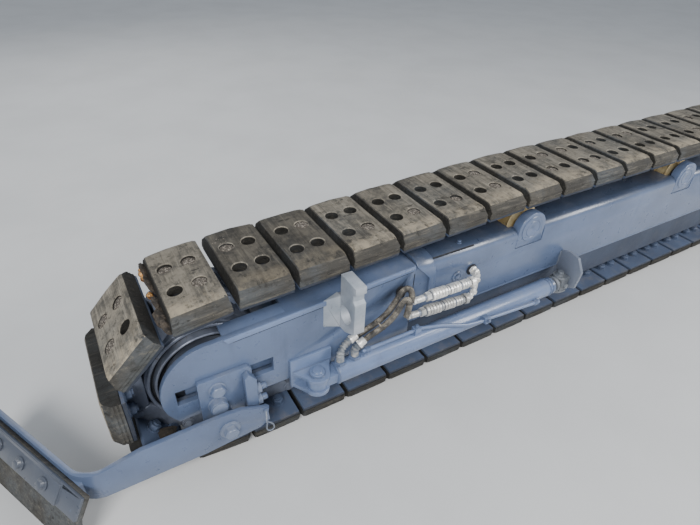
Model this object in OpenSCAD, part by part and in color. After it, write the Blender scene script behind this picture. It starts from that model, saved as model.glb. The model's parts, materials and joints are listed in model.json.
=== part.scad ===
// Left-hand crawler track unit of a road paver, rubber-padded, standing on level ground.
// +X is forward, +Y is outboard (the left side of the machine), +Z is up.
// The origin is on the ground under the middle of the unit's bounding box.

/* [Track chain] */
// Distance from pin to pin
track_pitch = 155.6; // [150:0.1:162]
// Number of shoes in the closed loop
shoe_count = 43; // [39:1:47]
// Width of the track over the rubber pads, 4 mm more than the steel shoes
track_w = 300; // [280:5:320]
// Thickness of a steel shoe plate
shoe_t = 10; // [8:1:12]
// Length of a pad along the track
pad_l = 143; // [136:1:146]
// Thickness of a rubber pad
pad_t = 44; // [36:1:50]
// Width of the bevel at each end of a pad
pad_bevel_w = 16; // [8:1:24]
// Height of the bevel at each end of a pad
pad_bevel_h = 20; // [10:1:28]
// Link height from the pin line up to the shoe
link_up = 20; // [18:1:26]
// Link height from the pin line down to the rail face
link_down = 30; // [26:1:34]
// Distance between the middles of the two link rows
link_gauge = 98; // [90:1:110]
// Thickness of a link bar
link_t = 22; // [16:1:26]
// Radius of a pin boss
pin_boss_r = 17; // [12:1:18]
// Length of a pin from boss face to boss face
pin_l = 132; // [126:1:140]

/* [Wheels] */
// Thickness of the sprocket between the link rows
sprocket_t = 42; // [30:1:60]
// Width of the front idler over both treads
idler_w = 130; // [122:1:140]
// Width of the centre guide rib of idler and rollers
guide_w = 62; // [50:1:70]
// Height of the centre guide rib above the tread
guide_h = 16; // [8:1:20]
// Radius of the idler axle
idler_axle_r = 30; // [24:1:34]
// Tread radius of a bottom roller
roller_r = 58; // [50:1:64]
// Width of a bottom roller
roller_w = 152; // [140:2:164]
// Number of bottom rollers
roller_count = 7; // [5:1:8]
// Width of a carrier roller
carrier_w = 160; // [150:2:170]
// Radius of the roller shafts
shaft_r = 18; // [14:1:22]
// Tread radius of a carrier roller
carrier_r = 50; // [44:1:56]
// Height of the carrier roller axles above the ground, before the sag of the straight links
carrier_z = 446; // [438:1:450]
// Distance from the idler axle back to the first carrier roller
carrier_back = 1086; // [1000:2:1150]
// Distance between the two carrier rollers
carrier_gap = 860; // [800:10:900]

/* [Track frame] */
// Distance from the middle plane to the outer face of a side plate
plate_y = 133; // [128:1:136]
// Thickness of a side plate
plate_t = 15; // [12:1:18]
// Radius of the rounded nose of the front section
nose_r = 135; // [125:1:140]
// Height of the nose centre above the idler axle
nose_rise = 8; // [0:1:12]
// Height of the lower edge of the front section above the ground
nose_low_z = 196; // [190:1:205]
// Length of the front section from the idler axle to the collar
nose_l = 612; // [560:1:660]
// Height of the deck of the rear beam
deck_z = 455; // [450:1:458]
// Height of the lower edge of the rear beam above the ground
beam_low_z = 236; // [225:1:245]
// Bend radius of the upper edges of the rear beam
beam_bend_r = 30; // [15:1:40]
// Length of the sliding slot for the idler bearing
slot_l = 260; // [240:1:270]
// Height of the sliding slot
slot_h = 50; // [44:1:56]

/* [Tensioning cylinder] */
// Distance of the cylinder axis outboard of the side plate
cyl_out = 42; // [38:1:50]
// Height of the cylinder axis above the ground
cyl_z = 194; // [186:1:200]
// Radius of the cylinder barrel
barrel_r = 32; // [26:1:36]
// Length of the barrel
barrel_l = 860; // [800:10:900]
// Radius of the piston rod
rod_r = 18; // [14:1:22]
// Distance from the idler axle back to the clevis pin
clevis_back = 272; // [262:1:285]
// Radius of the clevis pin
clevis_pin_r = 15; // [12:1:18]
// Thickness of a clevis lug
lug_t = 12; // [8:1:14]

/* [Deflector] */
// Height of the deflector pivot above the ground
pivot_z = 158; // [150:1:165]
// Radius of the pivot bolt shank
pivot_r = 12; // [8:1:14]
// Distance from the idler axle forward to the pivot
pivot_x = -8; // [-14:1:0]
// Gap between the side plate and the deflector arm
arm_gap = 43; // [40:1:48]
// Thickness of the arm bar
arm_t = 12; // [8:1:14]
// Height of the arm bar
arm_h = 116; // [100:1:120]
// Distance from the pivot forward to the start of the bend
arm_bend_x = 300; // [290:1:330]
// Outer radius of the bend
arm_bend_r = 82; // [60:1:90]
// Length of the blade from the bend to its inner end
blade_l = 330; // [300:1:360]
// Angle of the blade from straight ahead
blade_angle = 63; // [58:1:68]
// Lean of the clamp plate back from upright
blade_lean = 35; // [25:1:40]
// Clearance of the rubber skirt above the ground
skirt_clear = 14; // [8:1:20]

/* [Chassis side] */
// Distance from the middle plane inboard to the bolting faces
chassis_y = 285; // [270:1:310]
// Length of a chassis bracket
bracket_l = 340; // [310:10:380]
// Height of a chassis bracket
bracket_h = 160; // [150:5:180]
// Distance between the bolt columns of a bolting face
bolt_dx = 240; // [200:10:260]
// Distance between the bolt rows of a bolting face
bolt_dz = 110; // [100:5:120]
// Radius of the chassis bolt holes
bolt_hole_r = 13; // [9:0.5:14]

/* [Hidden] */
$fn = 48;
clr = 0.3;
idler_div = 8;
sprocket_div = 9;
first_pin_angle = 22.5;
idler_r = track_pitch / (2 * sin(180 / idler_div));
sprocket_r = track_pitch / (2 * sin(180 / sprocket_div));
pin_z = pad_t + shoe_t + link_up;
idler_z = pin_z + idler_r;
sprocket_z = pin_z + sprocket_r;
carrier_pin_z = carrier_z + carrier_r + clr + link_down;

// Path of the pins, in the side plane, with the idler axle at x = 0.
function sprocket_c(d) = [-d, sprocket_z];
idler_c = [0, idler_z];
carrier_1 = [-carrier_back, carrier_pin_z];
carrier_2 = [-carrier_back - carrier_gap, carrier_pin_z];
function tangent_angle(c, r, p, side) = atan2(p[1] - c[1], p[0] - c[0]) + side * acos(r / norm(p - c));
function on_circle(c, r, a) = c + r * [cos(a), sin(a)];
idler_end = tangent_angle(idler_c, idler_r, carrier_1, -1);
idler_top = on_circle(idler_c, idler_r, idler_end);
function sprocket_start(d) = tangent_angle(sprocket_c(d), sprocket_r, carrier_2, 1);
function sprocket_top(d) = on_circle(sprocket_c(d), sprocket_r, sprocket_start(d));
idler_wrap = (idler_end + 90) * idler_div / 360 * track_pitch;
function sprocket_wrap(d) = (270 - sprocket_start(d)) * sprocket_div / 360 * track_pitch;
function stage_lengths(d) = [d, idler_wrap, norm(carrier_1 - idler_top), carrier_gap,
    norm(sprocket_top(d) - carrier_2), sprocket_wrap(d)];
function sum(v, n) = n <= 0 ? 0 : v[n - 1] + sum(v, n - 1);
function closed(d, n) = n == 0 ? d : closed(d + (shoe_count * track_pitch - sum(stage_lengths(d), 6)) / 2, n - 1);
// Distance between the idler and sprocket axles that closes the chain
axle_gap = closed(shoe_count * track_pitch / 2.5, 12);
lengths = stage_lengths(axle_gap);
total_l = shoe_count * track_pitch;
sprocket_at = sprocket_c(axle_gap);
function between(a, b, t) = a + (b - a) * t;
function path(s) =
    s < sum(lengths, 1) ? [-axle_gap + s, pin_z] :
    s < sum(lengths, 2) ? on_circle(idler_c, idler_r, -90 + (s - sum(lengths, 1)) / track_pitch * 360 / idler_div) :
    s < sum(lengths, 3) ? between(idler_top, carrier_1, (s - sum(lengths, 2)) / lengths[2]) :
    s < sum(lengths, 4) ? between(carrier_1, carrier_2, (s - sum(lengths, 3)) / lengths[3]) :
    s < sum(lengths, 5) ? between(carrier_2, sprocket_top(axle_gap), (s - sum(lengths, 4)) / lengths[4]) :
    on_circle(sprocket_at, sprocket_r,
        sprocket_start(axle_gap) + (s - sum(lengths, 5)) / track_pitch * 360 / sprocket_div);
phase = axle_gap + (first_pin_angle + 90) / 360 * idler_div * track_pitch;
function wrap(s) = s - total_l * floor(s / total_l);
pins = [for (i = [0:shoe_count - 1]) path(wrap(phase + i * track_pitch))];
function pin(i) = pins[i % shoe_count];

// Derived places
top_slope = atan2(carrier_1[1] - idler_top[1], -(carrier_1[0] - idler_top[0]));
plate_in = plate_y - plate_t;
nose_c = [0, idler_z + nose_rise];
collar_x = -nose_l;
beam_end_x = -axle_gap + 330;
cyl_y = plate_y + cyl_out;
clevis_x = -clevis_back;
barrel_x = clevis_x - 55;
rod_bracket_x = barrel_x - barrel_l - 105;
arm_y = plate_y + arm_gap;
link_in = (link_gauge - link_t) / 2;
link_out = (link_gauge + link_t) / 2;
idler_tread_r = idler_r * cos(180 / idler_div) - link_down - clr;
roller_z = pin_z + link_down + clr + roller_r;
roller_first = -330;
roller_last = -axle_gap + 300;
bend_c = [arm_bend_x, arm_y + arm_t - arm_bend_r];
skirt_t = 14;
clamp_t = 9;
clamp_h = 58;
skirt_hang = 15;
blade_low = -85;
// A point in the section of the blade: t down its leaning face and h out of the face.
function lean_at(t, h) = [arm_bend_r, pivot_z + 12] + t * [sin(blade_lean), -cos(blade_lean)]
    + h * [cos(blade_lean), sin(blade_lean)];
function foot(p) = [p[0] + (p[1] - skirt_clear) * tan(skirt_hang), skirt_clear];
skirt_knee = lean_at(clamp_h + 2 + skirt_t * tan((blade_lean - skirt_hang) / 2), skirt_t + clr);
skirt_foot = foot(skirt_knee);
front_x = arm_bend_x + skirt_foot[0] * sin(blade_angle) + blade_l * cos(blade_angle);
spacer_r = 28;
cap_r = 60;
cap_gap = 2;
drive_r = 118;
tail_r = drive_r + 34;
shaft_end = plate_in - 11;
bracket_at = [collar_x - 248, collar_x - 1348];
bracket_low = beam_low_z + 26;
hole_at = [collar_x - 229, 364];
coupling_l = 230;
coupling_at = [[collar_x + 36, cyl_y + 8, hole_at[1] + 7], [collar_x + 56, cyl_y + 16, hole_at[1] - 36]];
coupling_tilt = [2, 4.5];
function coupling_dir(i) = [cos(coupling_tilt[i]), 0, sin(coupling_tilt[i])];
// Lowest link line over x on the top run, and the axle height that lets a carrier roller touch it
function chord_z(x) = min([for (i = [0:shoe_count - 1]) let (a = pin(i), b = pin(i + 1))
    if (b[0] <= x && x <= a[0]) a[1] + (b[1] - a[1]) * (x - a[0]) / (b[0] - a[0])]);
function axle_under(x) = chord_z(x) - (link_down + clr + carrier_r) / cos(top_slope);
port_x = [barrel_x - 18, barrel_x - 66];
elbow_end = [[barrel_x - 61, cyl_y - 17, cyl_z + 90], [barrel_x - 77, cyl_y + 5, cyl_z + 85]];
pipe_r = 6;
hose_r = 9;
elbow_r = 12;
pipe_lift = 6;
pipe_d = barrel_r + pipe_lift + pipe_r + clr;
clamp_at = [[barrel_x - 286, 0], [barrel_x - 539, 72]];
pipe_path = [[barrel_x - 783, 95], [barrel_x - 555, 72], [barrel_x - 523, 72], [barrel_x - 459, 62],
    [barrel_x - 375, 25], [barrel_x - 301, 0], [barrel_x - 271, 0], [barrel_x - 96, 0]];
eye_t = 32;
eye_r = 28;
eye_out = 50;
eye_x = clevis_x - 80;
eye_z = 409;
pad_corner_r = norm([sprocket_r * cos(180 / sprocket_div) + pin_z, pad_l / 2]);
back_x = -axle_gap - pad_corner_r;
rod_lug_y = plate_y + 102;
outer_y = bend_c[1] - blade_low * sin(blade_angle) + skirt_foot[0] * cos(blade_angle);
x0 = -(front_x + back_x) / 2;
y0 = -(outer_y - chassis_y) / 2;

module placed() { translate([x0, y0, 0]) children(); }
// Extrudes a side outline, drawn in X and Z, from y_low to y_high.
module side(y_low, y_high) { translate([0, y_high, 0]) rotate([90, 0, 0]) linear_extrude(y_high - y_low) children(); }
// A round bar along Y.
module bar_y(r, y_low, y_high) { translate([0, y_high, 0]) rotate([90, 0, 0]) cylinder(r = r, h = y_high - y_low); }
// A round bar along X, from x = 0 forward.
module bar_x(r, l) { rotate([0, 90, 0]) cylinder(r = r, h = l); }
// Puts a child at the middle of link i, with its +Z outwards from the loop.
module at_link(i) {
    a = pin(i);
    b = pin(i + 1);
    translate([(a[0] + b[0]) / 2, 0, (a[1] + b[1]) / 2])
        rotate([0, -atan2(b[1] - a[1], b[0] - a[0]), 0]) mirror([0, 0, 1]) children();
}

module rubber_pads() {
    color("dimgray") placed() for (i = [0:shoe_count - 1]) at_link(i)
        translate([-pad_l / 2, 0, link_up + shoe_t + clr]) rotate([90, 0, 90]) linear_extrude(pad_l)
            polygon([[-track_w / 2, 0], [track_w / 2, 0], [track_w / 2, pad_t - clr - pad_bevel_h],
                [track_w / 2 - pad_bevel_w, pad_t - clr], [pad_bevel_w - track_w / 2, pad_t - clr],
                [-track_w / 2, pad_t - clr - pad_bevel_h]]);
}

module track_shoes() {
    color("slategray") placed() for (i = [0:shoe_count - 1]) at_link(i)
        translate([1 - pad_l / 2, 2 - track_w / 2, link_up + clr]) cube([pad_l - 2, track_w - 4, shoe_t - clr]);
}

// A link bar stops short of the next one, with cut corners for the bends, and the pins hold the loop together.
module link_bar() {
    e = track_pitch / 2 - 2;
    c = track_pitch / 2 - link_down / 2;
    side(0, link_t) polygon([[-c, -link_down], [c, -link_down], [e, -4], [e, link_up], [-e, link_up], [-e, -4]]);
}

module track_chain() {
    color("dimgray") placed() union() {
        for (i = [0:shoe_count - 1]) at_link(i) for (s = [-1, 1])
            translate([0, s * link_gauge / 2 - link_t / 2, 0]) link_bar();
        for (p = pins) translate([p[0], 0, p[1]]) rotate([90, 0, 0])
            cylinder(r = pin_boss_r, h = pin_l, center = true, $fn = 6);
    }
}

module sprocket() {
    color("slategray") placed() translate([sprocket_at[0], 0, sprocket_at[1]]) difference() {
        union() {
            bar_y(sprocket_r * cos(180 / sprocket_div) + link_up - 1, -sprocket_t / 2, sprocket_t / 2);
            bar_y(drive_r, -sprocket_t / 2 - 14, sprocket_t / 2 + 14);
        }
        for (p = pins) translate([p[0] - sprocket_at[0], 0, p[1] - sprocket_at[1]])
            bar_y(pin_boss_r + 2, -sprocket_t, sprocket_t);
    }
}

module final_drive() {
    color("slategray") placed() translate([sprocket_at[0], 0, sprocket_at[1]]) {
        bar_y(drive_r - 10, sprocket_t / 2 + 14 + clr, plate_in - clr);
        bar_y(drive_r, -plate_in + clr, -sprocket_t / 2 - 14 - clr);
        bar_y(drive_r + 22, -plate_y - 26, -plate_y - clr);
        bar_y(drive_r - 18, -chassis_y + 12, -plate_y - 26);
    }
}

module idler() {
    color("dimgray") placed() translate([0, 0, idler_z]) difference() {
        union() {
            bar_y(idler_tread_r, -idler_w / 2, idler_w / 2);
            bar_y(idler_tread_r + guide_h, -guide_w / 2, guide_w / 2);
        }
        bar_y(idler_axle_r + clr, -idler_w, idler_w);
        for (s = [-1, 1]) translate([0, s * (idler_w / 2), 0]) rotate([90, 0, 0])
            rotate_extrude() translate([60, -14]) square([idler_tread_r - 60 - 26, 28]);
    }
}

// The axle ends in slider blocks that run in the slots of the side plates.
module idler_axle() {
    color("silver") placed() translate([0, 0, idler_z]) {
        bar_y(idler_axle_r, -plate_in + clr, plate_in - clr);
        for (s = [-1, 1]) translate([-idler_axle_r - 5, s * (plate_in + plate_y - 6) / 2 - (plate_t + 6) / 2, clr - slot_h / 2])
            cube([2 * idler_axle_r + 10, plate_t + 6, slot_h - 2 * clr]);
    }
}

module roller_shape(r, w, cone) {
    rotate([90, 0, 0]) rotate_extrude() polygon([[shaft_r + clr, -w / 2], [r + cone, -w / 2], [r, -w / 2 + 10],
        [r, -guide_w / 2], [r + 8, -guide_w / 2], [r + 8, guide_w / 2], [r, guide_w / 2],
        [r, w / 2 - 10], [r + cone, w / 2], [shaft_r + clr, w / 2]]);
}

module each_roller() {
    for (i = [0:roller_count - 1])
        translate([roller_first + (roller_last - roller_first) * i / (roller_count - 1), 0, roller_z]) children();
}

module bottom_rollers() { color("dimgray") placed() each_roller() roller_shape(roller_r, roller_w, 0); }

module roller_shafts() {
    color("silver") placed() each_roller() bar_y(shaft_r, -shaft_end, shaft_end);
}

module each_carrier() {
    for (x = [-carrier_back, -carrier_back - carrier_gap]) translate([x, 0, axle_under(x)]) children();
}

module carrier_rollers() { color("goldenrod") placed() each_carrier() roller_shape(carrier_r, carrier_w, 16); }

module carrier_caps() {
    color("gray") placed() each_carrier() for (s = [-1, 1]) {
        bar_y(shaft_r, min(s * 2, s * 100), max(s * 2, s * 100));
        side(min(s * 100, s * (plate_y - 1)), max(s * 100, s * (plate_y - 1))) union() {
            circle(r = cap_r);
            translate([-cap_r, -cap_r]) square([2 * cap_r, cap_r]);
        }
    }
}

// Side outline of the front section: a round nose, a cut lower edge and a top that rises to the collar.
module nose_outline() {
    difference() {
        union() {
            translate(nose_c) circle(r = nose_r);
            polygon([nose_c + [0, -nose_r], [collar_x, nose_c[1] - nose_r], [collar_x, deck_z],
                nose_c + [-nose_r * sin(top_slope), nose_r * cos(top_slope)]]);
        }
        translate([collar_x - 10, 0]) square([nose_l + 10 + nose_r, nose_low_z]);
    }
}

module slot_outline() { translate([-slot_l / 2 - 31, idler_z - slot_h / 2]) square([slot_l, slot_h]); }

module nose_section() {
    color("lightsteelblue") placed() {
        for (s = [[plate_in, plate_y], [-plate_y, -plate_in]]) side(s[0], s[1]) difference() {
            nose_outline();
            slot_outline();
        }
        side(-plate_in, plate_in) intersection() {
            difference() {
                nose_outline();
                translate([0, -14]) nose_outline();
            }
            translate([collar_x - 1, idler_z + 40]) square([nose_l - 209, 300]);
        }
    }
}

module beam_section() {
    difference() {
        union() {
            translate([-plate_y, beam_low_z]) square([2 * plate_y, deck_z - beam_low_z - beam_bend_r]);
            translate([-plate_y + beam_bend_r, beam_low_z])
                square([2 * (plate_y - beam_bend_r), deck_z - beam_low_z]);
            for (s = [-1, 1]) translate([s * (plate_y - beam_bend_r), deck_z - beam_bend_r]) circle(r = beam_bend_r);
        }
        translate([-plate_in, beam_low_z - 1]) square([2 * plate_in, deck_z - beam_low_z - plate_t + 1]);
    }
}

module tail_outline() {
    union() {
        translate(sprocket_at) circle(r = tail_r);
        polygon([sprocket_at + [20, tail_r - 2], [beam_end_x, deck_z - beam_bend_r],
            [beam_end_x + 60, deck_z - beam_bend_r], [beam_end_x + 60, beam_low_z], [beam_end_x, beam_low_z],
            sprocket_at + [60, 13 - tail_r]]);
    }
}

module rear_beam() {
    color("lightsteelblue") placed() {
        difference() {
            union() {
                translate([beam_end_x, 0, 0]) rotate([90, 0, 90]) linear_extrude(collar_x - beam_end_x) beam_section();
                for (s = [[plate_in, plate_y], [-plate_y, -plate_in]]) side(s[0], s[1]) tail_outline();
            }
            each_carrier() {
                translate([-cap_r - cap_gap, -plate_y - 1, -cap_r - clr])
                    cube([2 * (cap_r + cap_gap), 2 * plate_y + 2, 2 * cap_r]);
                translate([-carrier_r - 30, -99, -70]) cube([2 * carrier_r + 60, 198, 140]);
            }
            translate([sprocket_at[0], 0, sprocket_at[1]]) bar_y(drive_r - 30, -plate_y - 1, -plate_in + 1);
            translate([hole_at[0], 0, hole_at[1]]) bar_y(15, plate_in - 1, plate_y + 1);
        }
    }
}

// A bent strap on each upper edge of the beam, wide on the deck and narrow on the side.
module beam_collar() {
    e = plate_y - beam_bend_r;
    h = deck_z - beam_bend_r;
    color("lightsteelblue") placed() for (s = [0, 1]) mirror([0, s, 0]) intersection() {
        translate([collar_x - 78, 0, 0]) rotate([90, 0, 90]) linear_extrude(78) union() {
            translate([e - 50, deck_z + clr]) square([50, 10]);
            translate([plate_y + clr, h - 90]) square([10, 90]);
            translate([e, h]) difference() {
                intersection() {
                    circle(r = beam_bend_r + 10 + clr);
                    square(beam_bend_r + 11);
                }
                circle(r = beam_bend_r + clr);
            }
        }
        side(e - 60, plate_y + 20) polygon([[collar_x - 6, deck_z + 20], [collar_x - 60, deck_z + 20],
            [collar_x - 76, h - 24], [collar_x - 77, h - 91], [collar_x - 53, h - 91], [collar_x - 51, h - 28],
            [collar_x - 6, deck_z - 8]]);
    }
}

module roller_guards() {
    color("slategray") placed() for (s = [-1, 1]) side(s > 0 ? shaft_end : -plate_in + clr, s > 0 ? plate_in - clr : -shaft_end)
        translate([roller_last - roller_r - 12, roller_z - roller_r + 16])
            square([roller_first - roller_last + 2 * roller_r + 24, beam_low_z - roller_z + roller_r + 34]);
}

module chassis_brackets() {
    color("lightsteelblue") placed() for (x = bracket_at) translate([x, 0, 0]) difference() {
        translate([-bracket_l / 2, -chassis_y, bracket_low]) cube([bracket_l, chassis_y - plate_y - clr, bracket_h]);
        translate([25 - bracket_l / 2, 22 - chassis_y, bracket_low - 1])
            cube([bracket_l - 50, chassis_y - plate_y - 44, bracket_h + 2]);
        for (i = [-1, 1]) for (j = [-1, 1]) translate([i * bolt_dx / 2, 0, bracket_low + bracket_h / 2 + j * bolt_dz / 2])
            bar_y(bolt_hole_r, -chassis_y - 1, -chassis_y + 30);
    }
}

module bearing_plate(y_low, y_high) {
    low = pivot_z - 8;
    top = idler_z + 39;
    side(y_low, y_high) polygon([[-95, low + 8], [-83, low], [38, low], [48, low + 12], [48, top - 5], [43, top],
        [-86, top], [-95, top - 10]]);
}

// The bolt in the middle of the idler axle and the round boss below it stand on the plate.
module bearing_bosses(y) {
    translate([0, y, idler_z]) rotate([-90, 0, 0]) cylinder(r = 21, h = 15, $fn = 6);
    translate([5, 0, idler_z - 54]) bar_y(24, y, y + 20);
}

module idler_bearing_outer() {
    color("lightsteelblue") placed() {
        bearing_plate(plate_y + clr, plate_y + 14);
        bearing_bosses(plate_y + 14);
    }
}

module idler_bearing_inner() {
    color("lightsteelblue") placed() {
        bearing_plate(-plate_y - 14, -plate_y - clr);
        mirror([0, 1, 0]) bearing_bosses(plate_y + 14);
    }
}

module stop_lug() {
    color("lightsteelblue") placed() side(plate_y + 14 + clr, arm_y - 6)
        polygon([[-67, pivot_z + 8], [-67, idler_z + 20], [-80, idler_z + 31], [-99, idler_z + 5], [-99, pivot_z]]);
}

module thrust_bolts() {
    color("silver") placed() for (z = [34, 78]) translate([-99 - clr, plate_y + 22, pivot_z + z]) rotate([0, -90, 0]) {
        cylinder(r = 9, h = 26);
        cylinder(r = 16, h = 12, $fn = 6);
    }
}

module lug_outline() {
    translate([clevis_x, plate_y + clr]) union() {
        translate([0, cyl_out - clr]) circle(r = 36);
        polygon([[-62, 0], [66, 0], [34, cyl_out + 8], [-34, cyl_out + 8]]);
    }
}

module cylinder_clevis() {
    color("lightsteelblue") placed() difference() {
        union() {
            for (z = [cyl_z + 17.3, cyl_z - 17.3 - lug_t]) translate([0, 0, z]) linear_extrude(lug_t) lug_outline();
            translate([clevis_x - 62, plate_y + clr, cyl_z - 17.3 - lug_t]) cube([128, 9, 101]);
        }
        translate([clevis_x, cyl_y, 0]) cylinder(r = clevis_pin_r + 0.05, h = 400);
    }
}

module clevis_pin() {
    color("silver") placed() translate([clevis_x, cyl_y, 0]) {
        translate([0, 0, cyl_z - 17 - lug_t - 8]) cylinder(r = clevis_pin_r, h = 34 + 2 * lug_t + 10);
        translate([0, 0, cyl_z + 17.6 + lug_t]) cylinder(r = 21, h = 8);
        translate([0, 0, cyl_z + 17.6 + lug_t]) cylinder(r = 14, h = 12);
    }
}

module cylinder_barrel() {
    color("lightsteelblue") placed() difference() {
        union() {
            translate([barrel_x - barrel_l, cyl_y, cyl_z]) bar_x(barrel_r, barrel_l);
            translate([clevis_x, cyl_y, cyl_z - 17]) cylinder(r = 30, h = 34);
            translate([barrel_x - 1, cyl_y - 22, cyl_z - 17]) cube([40, 44, 34]);
            translate([barrel_x - barrel_l - 14, cyl_y, cyl_z]) bar_x(barrel_r - 4, 20);
            for (x = port_x) translate([x, cyl_y, cyl_z]) cylinder(r = 15, h = barrel_r + 10);
            for (i = [0, len(pipe_path) - 1]) translate([pipe_path[i][0], cyl_y, cyl_z])
                rotate([-pipe_path[i][1], 0, 0]) cylinder(r = 12, h = barrel_r + pipe_lift);
        }
        translate([clevis_x, cyl_y, 0]) cylinder(r = clevis_pin_r + 0.05, h = 400);
        translate([barrel_x - barrel_l - 15, cyl_y, cyl_z]) bar_x(rod_r + clr, 70);
    }
}

module cylinder_rod() {
    color("silver") placed() {
        translate([rod_bracket_x + 16, cyl_y, cyl_z]) bar_x(rod_r, barrel_x - barrel_l - rod_bracket_x + 30);
        translate([rod_bracket_x + 12 + clr, cyl_y - 24, cyl_z - 24]) cube([34, 48, 48]);
    }
}

module rod_bracket() {
    color("lightsteelblue") placed() {
        translate([rod_bracket_x, 0, 0]) rotate([90, 0, 90]) linear_extrude(12)
            polygon([[plate_y + clr, 238], [plate_y + clr, 300], [plate_y + 34, 314], [plate_y + 74, 308],
                [rod_lug_y, 262], [rod_lug_y - 8, 190], [plate_y + 60, 172], [plate_y + 16, 176]]);
    }
}

// A round tube through a list of points.
module run(points, r) {
    for (i = [0:len(points) - 2]) hull() {
        translate(points[i]) sphere(r = r, $fn = 16);
        translate(points[i + 1]) sphere(r = r, $fn = 16);
    }
}

// The pipe lies against the barrel: a point at x, at an angle outboard from straight up.
function on_barrel(p) = [p[0], cyl_y + pipe_d * sin(p[1]), cyl_z + pipe_d * cos(p[1])];

module cylinder_pipe() {
    color("lightsteelblue") placed() run([for (p = pipe_path) on_barrel(p)], pipe_r);
}

module pipe_clamps() {
    color("slategray") placed() for (p = clamp_at) difference() {
        translate([p[0], cyl_y, cyl_z]) rotate([-p[1], 0, 0]) translate([-11, -11, barrel_r + clr]) cube([22, 22, 22]);
        translate(on_barrel(p) - [20, 0, 0]) bar_x(pipe_r + clr, 40);
    }
}

// Two elbows on the cylinder, and the fittings that lead from the couplings into the hole of the beam.
module port_elbows() {
    z = cyl_z + barrel_r + 22 + clr;
    r0 = coupling_at[0] - (coupling_l + 9 + clr) * coupling_dir(0);
    r1 = coupling_at[1] - (coupling_l + 9 + clr) * coupling_dir(1);
    h = [hole_at[0], plate_y, hole_at[1]];
    color("gainsboro") placed() {
        run([[port_x[0], cyl_y, z], [port_x[0], cyl_y, z + 12], [port_x[0] - 8, cyl_y - 5, z + 23], elbow_end[0]], elbow_r);
        run([[port_x[1], cyl_y, z], [port_x[1], cyl_y, z + 12], elbow_end[1]], elbow_r);
        run([r0, h + [18, 46, 0], h + [4, 26, 3], h + [0, -4, 2]], 9);
        run([r1, r1 + [-12, 0, 7], h + [26, 54, -28], h + [16, 44, -8]], 9);
    }
}

module hose_couplings() {
    color("gainsboro") placed() for (i = [0, 1]) translate(coupling_at[i]) rotate([0, -coupling_tilt[i], 0])
        translate([-coupling_l, 0, 0]) {
            bar_x(14, coupling_l);
            translate([30, 0, 0]) bar_x(18, 50);
            translate([95, 0, 0]) bar_x(19, 60);
            translate([170, 0, 0]) bar_x(17, 40);
        }
}

// The hoses rise from the elbows beside each other, loop over and enter the couplings from the front.
module hoses() {
    c0 = coupling_at[0] + (hose_r + clr) * coupling_dir(0);
    c1 = coupling_at[1] + (hose_r + clr) * coupling_dir(1);
    e0 = elbow_end[0] + (elbow_r + hose_r + 0.4) * [-0.957, -0.017, 0.29];
    e1 = elbow_end[1] + (elbow_r + hose_r + 0.4) * [-0.905, 0, 0.426];
    color("dimgray") placed() {
        run([e0, [e0[0] - 30, cyl_y - 18, e0[2] + 10], [c0[0] + 73, cyl_y - 18, c0[2] - 38],
            [c0[0] + 38, cyl_y - 18, c0[2] + 2], [c0[0] + 18, cyl_y - 17, c0[2] + 30],
            [c0[0] + 3, cyl_y - 11, c0[2] + 38], [c0[0] + 1, cyl_y + 1, c0[2] + 22], c0], hose_r);
        run([e1, [c1[0] + 54, cyl_y + 6, c1[2] - 6], [c1[0] + 22, cyl_y + 6, c1[2] + 32],
            [c1[0] + 10, cyl_y + 7, c1[2] + 58], [c1[0] + 2, cyl_y + 14, c1[2] + 64],
            [c1[0] + 4, cyl_y + 19, c1[2] + 42], [c1[0] + 2, cyl_y + 18, c1[2] + 14], c1], hose_r);
    }
}

// A transverse plate with a hole and a head, and a flank that runs forward onto the side plate.
module eye_bracket() {
    color("lightgray") placed() difference() {
        union() {
            translate([eye_x - eye_t, 0, 0]) rotate([90, 0, 90]) linear_extrude(eye_t)
                polygon([[plate_y + clr, eye_z - 64], [plate_y + 50, eye_z - 58], [plate_y + 95, eye_z - 34],
                    [plate_y + 95, eye_z + 65], [plate_y + 85, eye_z + 72], [plate_y + 85, eye_z + 92],
                    [plate_y + 95, eye_z + 97], [plate_y + 95, eye_z + 118], [plate_y + 20, eye_z + 118],
                    [plate_y + 20, eye_z + 48], [plate_y + clr, eye_z + 42]]);
            intersection() {
                translate([0, 0, eye_z - 70]) linear_extrude(130) polygon([[eye_x + 40, plate_y + clr],
                    [eye_x - 1, plate_y + eye_out - eye_r - 1], [eye_x - 1, plate_y + clr]]);
                side(plate_y, plate_y + 60) polygon([[eye_x + 41, eye_z - 62], [eye_x + 41, eye_z + 29],
                    [eye_x - 2, eye_z + 46], [eye_x - 2, eye_z - 62]]);
            }
        }
        translate([eye_x - eye_t - 1, plate_y + eye_out, eye_z]) bar_x(eye_r, eye_t + 20);
    }
}

module pivot_bolt() {
    color("silver") placed() translate([pivot_x, 0, pivot_z]) {
        bar_y(spacer_r, plate_y + 14 + clr, arm_y - 1);
        bar_y(pivot_r, plate_y + 14 + clr, arm_y + arm_t + 2);
        bar_y(26, arm_y + arm_t + 1, arm_y + arm_t + 5);
        translate([0, arm_y + arm_t + 4, 0]) rotate([-90, 0, 0]) cylinder(r = 20, h = 15, $fn = 6);
    }
}

// Points round the bend, from its start on the arm to its end on the blade.
function bend(r) = [for (t = [0:6:54]) bend_c + r * [sin(t), cos(t)]];
function blade_end(r) = bend_c + r * [sin(blade_angle), cos(blade_angle)] + blade_l * [cos(blade_angle), -sin(blade_angle)];
function blade_start(r) = bend_c + r * [sin(blade_angle), cos(blade_angle)];

// A bar along the blade with a section drawn outwards and up.
module blade_bar(low, high) {
    translate([bend_c[0], bend_c[1], 0]) rotate([0, 0, -blade_angle]) translate([low, 0, 0])
        rotate([90, 0, 90]) linear_extrude(high - low) children();
}

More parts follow.
